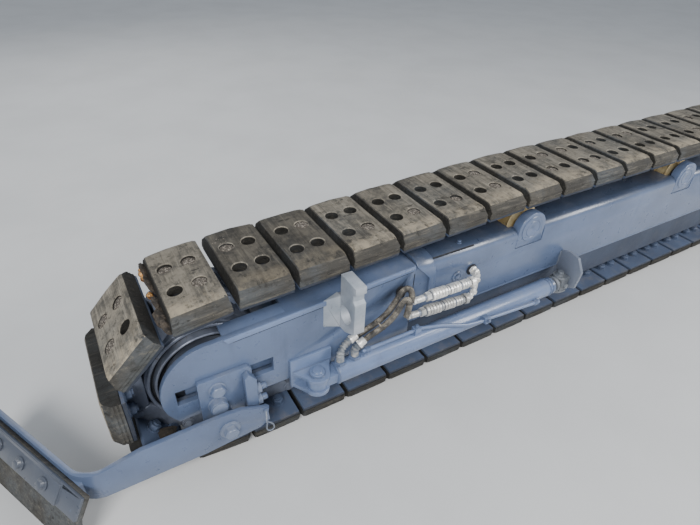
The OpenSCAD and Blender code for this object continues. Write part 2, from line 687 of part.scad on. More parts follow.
module deflector_arm() {
    r = arm_bend_r;
    q = r - arm_t;
    top = arm_h / 2;
    color("lightsteelblue") placed() difference() {
        union() {
            intersection() {
                linear_extrude(400) polygon(concat([[-160, arm_y], [-160, arm_y + arm_t]], bend(r),
                    [blade_start(r), blade_end(r), blade_end(q), blade_start(q)], [for (i = [9:-1:0]) bend(q)[i]]));
                translate([0, 0, pivot_z]) side(-300, 300) polygon([[-119, 32 - top], [-90, 14 - top], [-13, 7 - top],
                    [60, -top], [700, -top], [700, 34], [arm_bend_x, 34], [arm_bend_x - 90, top - 3], [64, top],
                    [-9, top], [-46, top - 4], [-84, top - 22], [-115, top - 33]]);
            }
            blade_bar(-38, blade_l - 1) polygon([[q + 2, pivot_z + 12], lean_at(0, 0), lean_at(clamp_h, 0),
                lean_at(clamp_h, 0) - [0, 8], [q + 2, pivot_z - 50]]);
        }
        translate([pivot_x, 0, pivot_z]) bar_y(pivot_r + clr, arm_y - 1, arm_y + arm_t + 1);
    }
}

module deflector_clamp() {
    h = skirt_t + 2 * clr;
    color("lightsteelblue") placed() union() {
        blade_bar(blade_low, blade_l) polygon([lean_at(0, h), lean_at(0, h + clamp_t), lean_at(clamp_h, h + clamp_t),
            lean_at(clamp_h, h)]);
        blade_bar(-16, blade_l - 4) polygon([lean_at(2, h + 1), lean_at(2, h + clamp_t + 7),
            lean_at(clamp_h - 3, h + clamp_t + 7), lean_at(clamp_h - 3, h + 1)]);
    }
}

module deflector_skirt() {
    back = lean_at(clamp_h + 2, clr);
    color("dimgray") placed() blade_bar(blade_low, blade_l) polygon([lean_at(0, clr), lean_at(0, skirt_t + clr), skirt_knee,
        skirt_foot, foot(back), back]);
}

module clamp_bolts() {
    c = lean_at(clamp_h / 2, skirt_t + clamp_t + 7 + 3 * clr);
    color("silver") placed() translate([bend_c[0], bend_c[1], 0]) rotate([0, 0, -blade_angle])
        for (x = [37, 132, 227]) translate([x, c[0], c[1]]) rotate([blade_lean - 90, 0, 0]) {
            cylinder(r = 17, h = 4);
            translate([0, 0, 3]) cylinder(r = 12, h = 10, $fn = 6);
        }
}

rubber_pads();
track_shoes();
track_chain();
sprocket();
final_drive();
idler();
idler_axle();
bottom_rollers();
roller_shafts();
carrier_rollers();
carrier_caps();
nose_section();
rear_beam();
beam_collar();
roller_guards();
chassis_brackets();
idler_bearing_outer();
idler_bearing_inner();
stop_lug();
cylinder_clevis();
clevis_pin();
cylinder_barrel();
cylinder_rod();
rod_bracket();
cylinder_pipe();
pipe_clamps();
port_elbows();
hose_couplings();
hoses();
eye_bracket();
thrust_bolts();
pivot_bolt();
deflector_arm();
deflector_clamp();
deflector_skirt();
clamp_bolts();
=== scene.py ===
import json
import math
import random

import bpy
from mathutils import Matrix, Vector, noise

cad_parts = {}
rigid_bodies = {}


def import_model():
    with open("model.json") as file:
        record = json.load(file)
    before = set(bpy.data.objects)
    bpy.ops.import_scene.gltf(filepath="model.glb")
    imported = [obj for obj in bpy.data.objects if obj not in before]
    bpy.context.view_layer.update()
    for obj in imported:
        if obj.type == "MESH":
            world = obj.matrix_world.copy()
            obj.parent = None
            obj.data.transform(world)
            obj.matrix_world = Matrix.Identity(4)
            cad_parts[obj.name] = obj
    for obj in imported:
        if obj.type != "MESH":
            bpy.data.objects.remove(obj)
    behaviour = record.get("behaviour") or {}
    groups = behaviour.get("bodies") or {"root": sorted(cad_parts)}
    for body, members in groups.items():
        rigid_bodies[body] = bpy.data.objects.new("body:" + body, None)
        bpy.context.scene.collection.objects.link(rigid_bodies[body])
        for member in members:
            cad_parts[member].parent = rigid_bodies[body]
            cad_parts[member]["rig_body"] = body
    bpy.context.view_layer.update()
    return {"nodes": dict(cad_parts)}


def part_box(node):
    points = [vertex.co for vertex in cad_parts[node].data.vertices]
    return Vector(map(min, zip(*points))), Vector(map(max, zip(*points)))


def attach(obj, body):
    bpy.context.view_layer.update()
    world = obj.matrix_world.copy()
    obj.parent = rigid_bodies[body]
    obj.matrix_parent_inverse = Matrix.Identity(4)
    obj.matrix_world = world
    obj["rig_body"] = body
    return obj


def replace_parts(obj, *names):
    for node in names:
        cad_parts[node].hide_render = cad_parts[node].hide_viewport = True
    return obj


bl_info = {
    "name": "Crawler Track Unit",
    "version": (1, 0, 0),
    "blender": (4, 5, 0),
    "location": "3D View > Sidebar > Track Unit",
    "description": "Dresses the track unit of a road paver over its packed CAD frame",
    "category": "Object",
}

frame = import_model()


def middle(node):
    low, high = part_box(node)
    return (low + high) / 2


# The unit's own datum: idler axle, middle plane of the track, ground. Sizes and places below are in millimetres
# from it: x forward, y outboard, z up. Blender's metres are made from them by at().
DATUM = Vector((middle("idler_axle").x, middle("rubber_pads").y, 0))
AXLE_Z = middle("idler_axle").z * 1000
HUB = (middle("final_drive") - DATUM) * 1000
PAD_BASE = 30.3             # underside of a pad over the pin line
SKIN = 133                  # outer faces of the frame's side plates
NOSE_TAIL = -612            # joint between the nose section and the beam
CYLINDER = (175, 194)       # y and z of the tension cylinder's axis
PIVOT = (-8, 158)           # x and z of the deflector's pivot
CORNERS = [(x, y) for x in (-1, 1) for y in (-1, 1)]
CAMERA_RIGHT = Vector((-0.8646306, 0.5011327, 0.0357769))
CAMERA_DOWN = Vector((0.2667129, 0.5181881, -0.8126164))


def at(x, y, z):
    return DATUM + Vector((x, y, z)) / 1000


def unit_box(node):
    """Lowest and highest corner of a CAD node in unit millimetres."""
    low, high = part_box(node)
    return (low - DATUM) * 1000, (high - DATUM) * 1000


# ---------------------------------------------------------------- shader maths

class Val:
    """An output of a shader node, with arithmetic that adds Math nodes."""

    def __init__(self, ink, out):
        self.ink, self.out = ink, out

    def _math(self, op, a, b):
        return self.ink.node("ShaderNodeMath", [a, b], operation=op)

    def __add__(self, o): return self._math("ADD", self, o)
    def __sub__(self, o): return self._math("SUBTRACT", self, o)
    def __rsub__(self, o): return self._math("SUBTRACT", o, self)
    def __mul__(self, o): return self._math("MULTIPLY", self, o)
    __radd__, __rmul__ = __add__, __mul__

    def ramp(self, low, high):
        """0 below low, 1 above high, smooth between."""
        return self.ink.node("ShaderNodeMapRange", [self, low, high, 0.0, 1.0], interpolation_type="SMOOTHSTEP",
                             clamp=True)


class Ink:
    """One procedural material on Object coordinates."""

    def __init__(self, name):
        self.mat = bpy.data.materials.new(name + "_finish")
        self.mat.use_nodes = True
        self.tree = self.mat.node_tree
        self.tree.nodes.clear()
        self.place = self.node("ShaderNodeTexCoord", [], "Object")
        self.normal = self.node("ShaderNodeNewGeometry", [], "Normal")

    def node(self, kind, values, out=0, **settings):
        """Adds a node and returns one output. Values are in socket order, or keyed by socket number or name."""
        n = self.tree.nodes.new(kind)
        for k, v in settings.items():
            setattr(n, k, v)
        for k, v in values.items() if isinstance(values, dict) else enumerate(values):
            if isinstance(v, Val):
                self.tree.links.new(v.out, n.inputs[k])
            else:
                n.inputs[k].default_value = (*v, 1) if n.inputs[k].type == "RGBA" else v
        return Val(self, n.outputs[out])

    def noise(self, scale, detail=4.0, rough=0.55, stretch=None, seed=0.0):
        where = self.place
        if stretch or seed:
            where = self.node("ShaderNodeMapping", {"Vector": where, "Location": (seed, seed * 0.7, -seed),
                                                    "Scale": stretch or (1, 1, 1)})
        return self.node("ShaderNodeTexNoise", {"Vector": where, "Scale": scale, "Detail": detail,
                                                "Roughness": rough}, "Fac")

    def along(self, axis, place=None):
        """One part of a direction or place; of the surface's direction if none is given."""
        return self.node("ShaderNodeSeparateXYZ", [place or self.normal], axis)

    def mix(self, fac, a, b):
        """From colour a to colour b: 6 and 7 are the Mix node's colour sockets, 2 its colour output."""
        return self.node("ShaderNodeMix", {0: fac, 6: a, 7: b}, 2, data_type="RGBA")

    def bump(self, height, depth_mm, strength=1.0):
        return self.node("ShaderNodeBump", {"Strength": strength, "Distance": depth_mm / 1000, "Height": height})

    def finish(self, color, roughness, metallic=0.0, normal=None, **fixed):
        values = {"Base Color": color, "Roughness": roughness, "Metallic": metallic, **fixed}
        if normal:
            values["Normal"] = normal
        shader = self.node("ShaderNodeBsdfPrincipled", values)
        self.tree.links.new(shader.out, self.tree.nodes.new("ShaderNodeOutputMaterial").inputs[0])
        return self.mat


# ---------------------------------------------------------------- finishes

def shaded(colour, k):
    return tuple(c * k for c in colour)


def paint_tone(k):
    return shaded(bpy.context.scene.unit_finish.paint, k)


def frame_paint(name, tone=1.0, deck=None, grime=1.0, wash=0.0):
    """Blue-grey machine paint: even gloss, road dust lying on top, small chips and rubbed streaks.
    deck is the tone of its upward faces, set darker or lighter than the sides as painted shading for how light falls on
    them; wash fades it towards grey."""
    k = Ink(name)
    broad, fine = k.noise(4.5, 5), k.noise(38, 6, 0.65)
    cloud = (broad * 0.7 + k.noise(14, 5, 0.6, seed=2.6) * 0.3).ramp(0.36, 0.66)
    color = k.mix(cloud, paint_tone(tone * 0.86), paint_tone(tone * 1.1))
    # Painted shading: the upward faces take the deck tone, darker or lighter than the sides for how light falls on
    # them.
    if deck:
        color = k.mix(k.along("Z").ramp(0.3, 0.92), color,
                      k.mix(cloud, paint_tone(deck * 0.86), paint_tone(deck * 1.12)))
    if wash:
        color = k.mix(wash, color, shaded((0.165, 0.168, 0.166), tone))
    streak = k.noise(16, 5, 0.7, (1, 1, 0.18), 3.1).ramp(0.55, 0.74)
    color = k.mix(streak * (0.28 * grime), color, paint_tone(tone * 0.5))
    dust = k.along("Z").ramp(0.35, 0.95) * k.noise(9, 6, 0.7, seed=1.7).ramp(0.42, 0.74)
    color = k.mix(dust * (0.26 * grime), color, (0.30, 0.29, 0.27))
    speckle = k.noise(150, 3, 0.8, seed=6.6)
    color = k.mix(speckle.ramp(0.55, 0.7) * 0.16, color, paint_tone(tone * 1.6))
    scuff = k.noise(70, 6, 0.75, (0.35, 1, 1), 7.7).ramp(0.63, 0.71)
    color = k.mix(scuff * 0.35, color, paint_tone(tone * 2.0))
    chip = k.noise(95, 5, 0.72, seed=5.5).ramp(0.68, 0.72)
    color = k.mix(chip * 0.85, color, (0.045, 0.042, 0.042))
    rough = 0.20 + 0.20 * fine + dust * 0.3 + streak * 0.12
    peel = k.noise(420, 2) * 0.25 + fine * 0.8 - chip * 0.8
    return k.finish(color, rough, normal=k.bump(peel, 0.3, 0.6),
                    **{"Specular IOR Level": 0.55, "Coat Weight": 0.3, "Coat Roughness": 0.16})


def worn_track_steel(name, tone=0.56):
    """Painted track steel, rubbed and dusty, with a little rust."""
    k = Ink(name)
    broad, fine = k.noise(7, 5), k.noise(60, 7, 0.7)
    color = k.mix(broad.ramp(0.35, 0.68), paint_tone(tone), paint_tone(tone * 1.4))
    rust = (k.noise(22, 6, 0.75, seed=2.2) * 0.7 + fine * 0.3).ramp(0.6, 0.74)
    color = k.mix(rust * 0.5, color, (0.10, 0.05, 0.026))
    dust = (k.along("Z").ramp(0.1, 0.9) * 0.5 + 0.2) * k.noise(18, 7, 0.7, seed=4).ramp(0.46, 0.72)
    color = k.mix(dust * 0.5, color, (0.20, 0.18, 0.155))
    return k.finish(color, 0.5 + 0.3 * fine, normal=k.bump(fine + rust * 0.5, 1.0, 0.6))


def greasy_steel(name):
    """Running surfaces under the track: black-blue, oily, with baked dirt."""
    k = Ink(name)
    broad, fine = k.noise(9, 5), k.noise(80, 6, 0.7)
    color = k.mix(broad.ramp(0.35, 0.68), (0.110, 0.126, 0.168), (0.245, 0.270, 0.330))
    soil = k.noise(24, 7, 0.75, seed=6).ramp(0.55, 0.7)
    color = k.mix(soil * 0.6, color, (0.120, 0.092, 0.066))
    return k.finish(color, 0.32 + 0.25 * fine + soil * 0.3, 0.3 - soil * 0.25, k.bump(fine + soil, 1.2, 0.6))


def tread_rubber(name, side=False, tone=1.0):
    """Worn track rubber: brown-grey, grained across the track, with embedded grit and dust; side is for upright
    faces, with the grain along the track and less wear."""
    colours = bpy.context.scene.unit_finish
    dark, worn = shaded(colours.rubber, tone), shaded(colours.rubber_worn, tone)
    k = Ink(name)
    broad, mid, grain = k.noise(11, 6, 0.65), k.noise(70, 6, 0.7, seed=1.3), k.noise(520, 3, 0.7)
    fade = (broad * 0.6 + mid * 0.4).ramp(*((0.46, 0.76) if side else (0.36, 0.6)))
    color = k.mix(fade, dark, shaded(worn, 0.6) if side else worn)
    cool = k.noise(6, 4, seed=9.2).ramp(0.44, 0.64)
    blue, share = ((0.095, 0.108, 0.118), 0.5) if side else ((0.105, 0.112, 0.110), 0.25)
    color = k.mix(cool * share, color, shaded(blue, tone))
    spots = k.noise(190, 4, 0.75, seed=2.4).ramp(0.62, 0.72)
    color = k.mix(spots * 0.5, color, shaded((0.34, 0.29, 0.21), tone))
    cuts = k.noise(55, 4, 0.6, (0.25, 1, 1), 6.1).ramp(0.64, 0.70)
    color = k.mix(cuts * 0.75, color, shaded(dark, 0.3))
    lines = k.noise(95, 5, 0.7, (0.1, 1, 1) if side else (1, 0.07, 1), 5.7)
    color = k.mix(lines.ramp(0.5, 0.62) * 0.5, color, shaded(dark, 0.55))
    color = k.mix((1 - lines.ramp(0.36, 0.45)) * 0.4, color, shaded(worn, 1.0 if side else 1.7))
    if not side:
        outboard = k.along("Y", k.place).ramp(DATUM.y + 0.060, DATUM.y + 0.125)
        rub = (outboard * 0.85 + 0.1) * k.noise(19, 6, 0.7, seed=8.1).ramp(0.38, 0.62)
        color = k.mix(rub * 0.62, color, shaded((0.40, 0.335, 0.235), tone))
    grime = k.noise(34, 7, 0.78, seed=11.3).ramp(0.54, 0.66)
    color = k.mix(grime * 0.75, color, shaded(dark, 0.45))
    height = mid * 0.9 + grain * 0.35 - cuts * 1.2 + spots * 0.4 - lines * 0.9
    return k.finish(color, 0.72 + 0.16 * mid, normal=k.bump(height, 2.0, 0.85), **{"Specular IOR Level": 0.32})


def packed_grit(name):
    """Gravel and dried dirt in the bolt holes of the pads."""
    k = Ink(name)
    stones = k.node("ShaderNodeTexVoronoi", {"Vector": k.place, "Scale": 170}, "Distance")
    fine = k.noise(300, 5, 0.7)
    color = k.mix(stones.ramp(0.1, 0.55), (0.30, 0.26, 0.21), (0.07, 0.058, 0.046))
    color = k.mix(fine.ramp(0.5, 0.7) * 0.6, color, (0.48, 0.44, 0.38))
    return k.finish(color, 0.92, normal=k.bump(fine * 0.5 - stones, 3.0, 0.9))


def caked_soil(name, tone=1.0):
    """Brown soil pressed on by the track."""
    k = Ink(name)
    clods, fine = k.noise(45, 6, 0.7), k.noise(240, 6, 0.75)
    color = k.mix(clods.ramp(0.35, 0.66), shaded((0.034, 0.029, 0.025), tone), shaded((0.108, 0.084, 0.062), tone))
    color = k.mix(fine.ramp(0.58, 0.7) * 0.7, color, shaded((0.31, 0.265, 0.205), tone))
    return k.finish(color, 0.9, normal=k.bump(clods + fine * 0.6, 3.0, 0.9))


def copper_grease(name):
    """Copper-coloured grease squeezed out at the pins."""
    k = Ink(name)
    blobs = k.noise(70, 5, 0.7)
    color = k.mix(blobs.ramp(0.38, 0.62), (0.10, 0.045, 0.02), (0.78, 0.42, 0.14))
    return k.finish(color, 0.42, 0.2, k.bump(blobs, 1.5, 0.7))


def deep_shadow(name):
    """Near-black depth of seams and small openings."""
    k = Ink(name)
    return k.finish(k.mix(k.noise(60, 4).ramp(0.4, 0.7), (0.008, 0.009, 0.012), (0.02, 0.021, 0.026)), 0.8)


def bright_steel(name):
    """Bare round steel, rubbed bright and stained."""
    k = Ink(name)
    fine, broad = k.noise(120, 6, 0.7), k.noise(20, 5, seed=1)
    color = k.mix(broad.ramp(0.35, 0.7), (0.42, 0.44, 0.47), (0.62, 0.63, 0.64))
    dirt = k.noise(44, 6, 0.75, seed=7).ramp(0.56, 0.72)
    color = k.mix(dirt * 0.55, color, (0.13, 0.11, 0.09))
    return k.finish(color, 0.3 + 0.2 * fine + dirt * 0.25, 0.85 - dirt * 0.6, k.bump(fine, 0.4, 0.5))


def zinc_fitting(name, tone=1.0):
    """Plated fittings, bright on the ridges and dirty between them."""
    k = Ink(name)
    fine, broad = k.noise(150, 5, 0.7), k.noise(34, 5, 0.65, seed=2)
    color = k.mix(broad.ramp(0.36, 0.64), shaded((0.60, 0.60, 0.58), tone), shaded((1.0, 0.97, 0.90), tone))
    dirt = (k.noise(60, 6, 0.75, seed=9) * 0.8 + fine * 0.2).ramp(0.52, 0.62)
    color = k.mix(dirt * 0.65, color, (0.115, 0.100, 0.082))
    return k.finish(color, 0.26 + 0.2 * fine + dirt * 0.3, 0.45 - dirt * 0.35, k.bump(fine, 0.7, 0.7))


def sleeve_rubber(name):
    """Grey ribbed sleeves over the port elbows, dusty on top."""
    k = Ink(name)
    fine, broad = k.noise(180, 5, 0.7), k.noise(28, 5, seed=4)
    color = k.mix(broad.ramp(0.38, 0.66), (0.105, 0.125, 0.155), (0.27, 0.285, 0.30))
    dust = (k.along("Z").ramp(0.0, 0.9) * 0.7 + 0.3) * k.noise(55, 6, 0.7, seed=6).ramp(0.44, 0.64)
    color = k.mix(dust * 0.6, color, (0.46, 0.42, 0.35))
    return k.finish(color, 0.5 + 0.2 * fine, normal=k.bump(fine, 0.6, 0.6))


def cast_steel(name, tone=1.0):
    """Bare, flame-cut plate with scale and light scratches."""
    k = Ink(name)
    fine, broad = k.noise(90, 7, 0.72), k.noise(12, 5, seed=3)
    color = k.mix(broad.ramp(0.35, 0.7), shaded((0.295, 0.330, 0.375), tone), shaded((0.45, 0.475, 0.51), tone))
    mark = k.noise(34, 6, 0.7, (1, 0.3, 1), 8).ramp(0.57, 0.7)
    color = k.mix(mark * 0.7, color, (0.15, 0.145, 0.14))
    pit = k.noise(210, 4, 0.7, seed=3).ramp(0.62, 0.7)
    color = k.mix(pit * 0.4, color, (0.10, 0.10, 0.11))
    return k.finish(color, 0.42 + 0.25 * fine, 0.25, k.bump(fine - pit * 0.6, 0.8, 0.6))


def hose_cover(name):
    """Dusty black hose cover."""
    k = Ink(name)
    fine, broad = k.noise(260, 4, 0.7), k.noise(25, 5, seed=2)
    color = k.mix(broad.ramp(0.4, 0.7), (0.032, 0.031, 0.030), (0.110, 0.098, 0.082))
    dust = k.along("Z").ramp(0.0, 0.9) * k.noise(50, 5, 0.7, seed=5).ramp(0.4, 0.66)
    color = k.mix(dust * 0.85, color, (0.42, 0.37, 0.29))
    return k.finish(color, 0.6 + 0.2 * fine, normal=k.bump(fine, 0.5, 0.5))


def bronze_tread(name):
    """Brass-yellow tread of the carrier rollers."""
    k = Ink(name)
    fine, broad = k.noise(100, 6, 0.7), k.noise(18, 5, seed=1)
    color = k.mix(broad.ramp(0.35, 0.7), (0.72, 0.50, 0.20), (1.0, 0.82, 0.48))
    dirt = k.noise(40, 6, 0.75, seed=4).ramp(0.6, 0.74)
    color = k.mix(dirt * 0.7, color, (0.09, 0.075, 0.06))
    return k.finish(color, 0.4 + 0.2 * fine, 0.35 - dirt * 0.2, k.bump(fine, 0.5, 0.5))


# Finishes that are another one with its own settings.
VARIANTS = {
    # Each deck tone here is painted shading of the upward faces: darker than the sides for a shaded top, lighter for a
    # lit one.
    "beam_paint": (frame_paint, {"tone": 1.05, "deck": 0.42, "grime": 0.45}),
    # Grey-washed paint, its tone raised as painted light for the sky light falling on the rod bracket.
    "bracket_paint_lit": (frame_paint, {"tone": 1.15, "wash": 0.5}),
    "bolt_paint": (frame_paint, {"tone": 1.25, "wash": 0.25}),
    "cap_paint": (frame_paint, {"tone": 1.15, "deck": 0.85}),
    "collar_paint": (frame_paint, {"tone": 1.15, "deck": 0.6}),
    "cylinder_paint": (frame_paint, {"tone": 1.45}),
    # Painted highlight: the lip's band is made lighter for the light catching the frame's top edge.
    "lip_highlight_paint": (frame_paint, {"tone": 1.5, "deck": 1.7, "grime": 0.6}),
    "blade_paint": (frame_paint, {"tone": 0.55, "deck": 0.58, "wash": 0.5}),
    "shade_paint": (frame_paint, {"tone": 0.5, "grime": 1.6}),
    # Painted shade: the roller guards' steel is darkened for the shadow under the beam.
    "shaded_guard_steel": (worn_track_steel, {"tone": 0.3}),
    "shoe_edge": (worn_track_steel, {"tone": 0.16}),
    "knuckle_steel": (cast_steel, {"tone": 0.5}),
    "damp_soil": (caked_soil, {"tone": 0.5}),
    "zinc_dull": (zinc_fitting, {"tone": 0.6}),
    # Painted shade and light: a darker copy for pads that lie in shade, a lighter copy for the pad that catches the
    # light.
    "tread_rubber_shaded": (tread_rubber, {"tone": 0.5}),
    "tread_rubber_lit": (tread_rubber, {"tone": 1.35}),
    "hole_rim": (tread_rubber, {"tone": 1.45}),
    "tread_rubber_side": (tread_rubber, {"side": True}),
    "tread_rubber_low": (tread_rubber, {"side": True, "tone": 0.5}),
    # Painted shade: a darker side rubber for the faces between the pads and inside the holes.
    "tread_rubber_gap_shade": (tread_rubber, {"side": True, "tone": 0.42}),
    "skirt_rubber": (tread_rubber, {"side": True, "tone": 1.1}),
}
FINISHES = {f.__name__: (f, {}) for f in (
    frame_paint, worn_track_steel, greasy_steel, tread_rubber, packed_grit, caked_soil, copper_grease, deep_shadow,
    bright_steel, zinc_fitting, sleeve_rubber, cast_steel, hose_cover, bronze_tread)} | VARIANTS


def finish_of(name):
    make, settings = FINISHES[name]
    return bpy.data.materials.get(name + "_finish") or make(name, **settings)


# ---------------------------------------------------------------- modelling helpers

SELECT_ALL = ("select_all", {"action": "SELECT"})
OUTWARDS = ("normals_make_consistent", {"inside": False})


def pick(*objects):
    """Selects just these objects and makes the first one active."""
    bpy.ops.object.select_all(action="DESELECT")
    for o in objects:
        o.select_set(True)
    bpy.context.view_layer.objects.active = objects[0]


def added(kind, **options):
    """Adds a mesh primitive and returns it."""
    bpy.ops.object.select_all(action="DESELECT")
    getattr(bpy.ops.mesh, f"primitive_{kind}_add")(**options)
    return bpy.context.object


def edited(*steps):
    """Runs mesh operators in edit mode on the active object, with all of it selected at first."""
    bpy.ops.object.mode_set(mode="EDIT")
    for name, options in (SELECT_ALL, *steps):
        getattr(bpy.ops.mesh, name)(**options)
    bpy.ops.object.mode_set(mode="OBJECT")


def smooth(degrees):
    bpy.ops.object.shade_smooth_by_angle(angle=math.radians(degrees))


def settle(o, name):
    """Puts the object's place into its mesh."""
    pick(o)
    bpy.ops.object.transform_apply(location=True, rotation=True, scale=True)
    o.name = o.data.name = name
    return o


def dress(o, finish, body="frame"):
    o.data.materials.clear()
    o.data.materials.append(finish_of(finish))
    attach(o, body)
    return o


def soften(o, width_mm, segments=2, angle=35):
    """Rounds the sharp edges with a bevel and smooths the shading between them."""
    pick(o)
    m = o.modifiers.new("edge", "BEVEL")
    m.width, m.segments, m.limit_method, m.angle_limit = width_mm / 1000, segments, "ANGLE", math.radians(angle)
    m.use_clamp_overlap, m.harden_normals = True, False
    bpy.ops.object.modifier_apply(modifier=m.name)
    smooth(angle)
    return o


def block(name, low, high, edge):
    """A box between two corners in unit millimetres, with its edges rounded."""
    low, high = at(*low), at(*high)
    o = added("cube", size=1, location=(low + high) / 2)
    o.scale = high - low
    return soften(settle(o, name), edge)


def cylinder(name, sides, r, depth, location, rotation=(0, 0, 0)):
    return settle(added("cylinder", vertices=sides, radius=r, depth=depth, location=location, rotation=rotation), name)


def rod(name, a, b, r, sides):
    """A round bar between two points, r in millimetres."""
    return cylinder(name, sides, r / 1000, (b - a).length, (a + b) / 2, (b - a).to_track_quat("Z", "Y").to_euler())


def extruded(outline, steps):
    """A face with this outline, pushed on by each step in turn, closed and facing outwards."""
    o = added("circle", vertices=len(outline), radius=1, fill_type="NGON")
    for vert, co in zip(o.data.vertices, outline):
        vert.co = co
    edited(*(("extrude_region_move", {"TRANSFORM_OT_translate": {"value": step}}) for step in steps),
           SELECT_ALL, OUTWARDS)
    return o


def plate(name, outline, axis, low, high, edge=1.5):
    """A flat plate: outline points in unit millimetres in the plane across axis, from low to high along it."""
    place = {"X": lambda u, v: (low, u, v), "Y": lambda u, v: (u, low, v), "Z": lambda u, v: (u, v, low)}[axis]
    step = Vector([(high - low) / 1000 if axis == a else 0 for a in "XYZ"])
    o = settle(extruded([at(*place(u, v)) for u, v in outline], [step]), name)
    return soften(o, edge) if edge else o


def turned(name, profile, centre, direction, sides=40, angle=40):
    """A turned piece: (radius, length) pairs in millimetres, spun round an axis through centre."""
    o = added("circle", vertices=len(profile), radius=1)
    for vert, (r, length) in zip(o.data.vertices, profile):
        vert.co = (r / 1000, 0, length / 1000)
    edited(("spin", {"steps": sides, "angle": 2 * math.pi, "center": (0, 0, 0), "axis": (0, 0, 1)}), SELECT_ALL,
           ("remove_doubles", {"threshold": 1e-5}), ("dissolve_degenerate", {"threshold": 1e-6}), SELECT_ALL, OUTWARDS)
    o.matrix_world = Matrix.Translation(centre) @ Vector(direction).to_track_quat("Z", "Y").to_matrix().to_4x4()
    settle(o, name)
    smooth(angle)
    return o


def washer(r, height, chamfer=1.2, drop=1.0, bore=0):
    """Profile of a flat ring with a chamfered upper rim."""
    return [(bore, 0), (r, 0), (r, height - drop), (r - chamfer, height), (bore, height)]


def nut(r, length, chamfer=1.0, drop=1.0, bore=0):
    """Profile of a nut or band with both rims chamfered."""
    return [(bore, 0), (r - chamfer, 0), (r, drop), (r, length - drop), (r - chamfer, length), (bore, length)]


def fitted(name, profile, place, direction, finish, sides=40, angle=40, body="frame"):
    """A turned piece with its finish; place is in unit millimetres."""
    return dress(turned(name, profile, at(*place), direction, sides, angle), finish, body)


def tube(name, points, r, radii=None, sides=10):
    """A pipe along points in the row frame: straight pieces where radii give its thickness, else a smooth curve."""
    bpy.ops.object.select_all(action="DESELECT")
    bpy.ops.curve.primitive_bezier_curve_add()
    c = bpy.context.object.data
    c.splines.clear()
    c.dimensions = "3D"
    s = c.splines.new("POLY" if radii else "BEZIER")
    row = s.points if radii else s.bezier_points
    row.add(len(points) - 1)
    for i, (p, co) in enumerate(zip(row, points)):
        if radii:
            p.co, p.radius = (*co, 1), radii[i]
        else:
            p.co = co
            p.handle_left_type = p.handle_right_type = "AUTO"
    c.bevel_depth, c.bevel_resolution, c.use_fill_caps, c.resolution_u = r / 1000, sides // 2 - 1, True, 10
    bpy.ops.object.convert(target="MESH")
    edited(("remove_doubles", {"threshold": 1e-6}), OUTWARDS)
    o = settle(bpy.context.object, name)
    smooth(50)
    return o


def weld(name, a, b, r, finish):
    """A rippled bead between two places in unit millimetres."""
    a, b = at(*a), at(*b)
    n = max(4, int((b - a).length * 1000 / 3.2))
    radii = [1.0 if i % 2 else 0.8 for i in range(n + 1)]
    dress(tube(name, [a.lerp(b, i / n) for i in range(n + 1)], r, radii, 6), finish)


def spline(points, step_mm):
    """A smooth curve through points in unit millimetres, sampled every few millimetres, in the row frame."""
    pts = [at(*p) for p in points]
    ends = [pts[0] * 2 - pts[1], *pts, pts[-1] * 2 - pts[-2]]
    out = []
    for a, b, c, d in zip(ends, ends[1:], ends[2:], ends[3:]):
        n = max(2, int((c - b).length * 1000 / step_mm))
        for i in range(n):
            t = i / n
            out.append(0.5 * (2 * b + (c - a) * t + (2 * a - 5 * b + 4 * c - d) * t ** 2
                              + (3 * b - a - 3 * c + d) * t ** 3))
    return out + [pts[-1]]


def rippled(name, points, r, pitch_mm, depth, sides=14):
    """A ribbed sleeve along a smooth curve, with four samples to a rib."""
    line = spline(points, pitch_mm / 4)
    wave = (0.0, 0.5, 1.0, 0.5)
    return tube(name, line, r, [1 - depth * wave[i % 4] for i in range(len(line))], sides)


def copied(o, name, matrix):
    c = o.copy()
    c.data = o.data.copy()
    c.data.transform(matrix)
    bpy.context.scene.collection.objects.link(c)
    c.name = c.data.name = name
    return c


def joined(name, parts):
    pick(*parts)
    if len(parts) > 1:
        bpy.ops.object.join()
    o = bpy.context.object
    o.name = o.data.name = name
    return o


def cut(o, tool):
    """Takes the tool's volume out of o and deletes the tool."""
    pick(o)
    m = o.modifiers.new("cut", "BOOLEAN")
    m.operation, m.object, m.solver = "DIFFERENCE", tool, "EXACT"
    bpy.ops.object.modifier_apply(modifier=m.name)
    bpy.data.objects.remove(tool)


def from_cad(node, width_mm, finish, segments=2):
    """A copy of the CAD node with its loose triangles merged and its edges rounded, standing for the node."""
    src = frame["nodes"][node]
    o = src.copy()
    o.data = src.data.copy()
    for key in list(o.keys()):
        del o[key]
    o.parent = None
    bpy.context.scene.collection.objects.link(o)
    pick(o)
    edited(("remove_doubles", {"threshold": 1e-5}), ("dissolve_limited", {"angle_limit": math.radians(1.0)}))
    o.name = o.data.name = node + "_piece"
    soften(o, width_mm, segments)
    dress(o, finish, src["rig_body"])
    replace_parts(o, node)
    return o


def hex_bolt(name, place, direction, across, height, washer_r, finish):
    """A hexagon head on a washer, with its chamfered crown. place is where the washer sits, in unit millimetres."""
    d = Vector(direction).normalized()
    centre = at(*place)
    base = centre + d * 0.0036
    ring = turned(name + "_washer", washer(washer_r, 3.6), centre, d, 32)
    head = cylinder(name + "_head", 6, across / math.sqrt(3) / 1000, height / 1000, base + d * height / 2000,
                    d.to_track_quat("Z", "Y").to_euler())
    soften(head, 1.4)
    crown = turned(name + "_crown", [(0, 0), (across * 0.44, 0), (across * 0.40, 1.4), (0, 1.8)],
                   base + d * (height - 0.4) / 1000, d, 24)
    dress(joined(name, [ring, head, crown]), finish)


def scatter(rng, low, high):
    return rng.uniform(low, high) / 1000


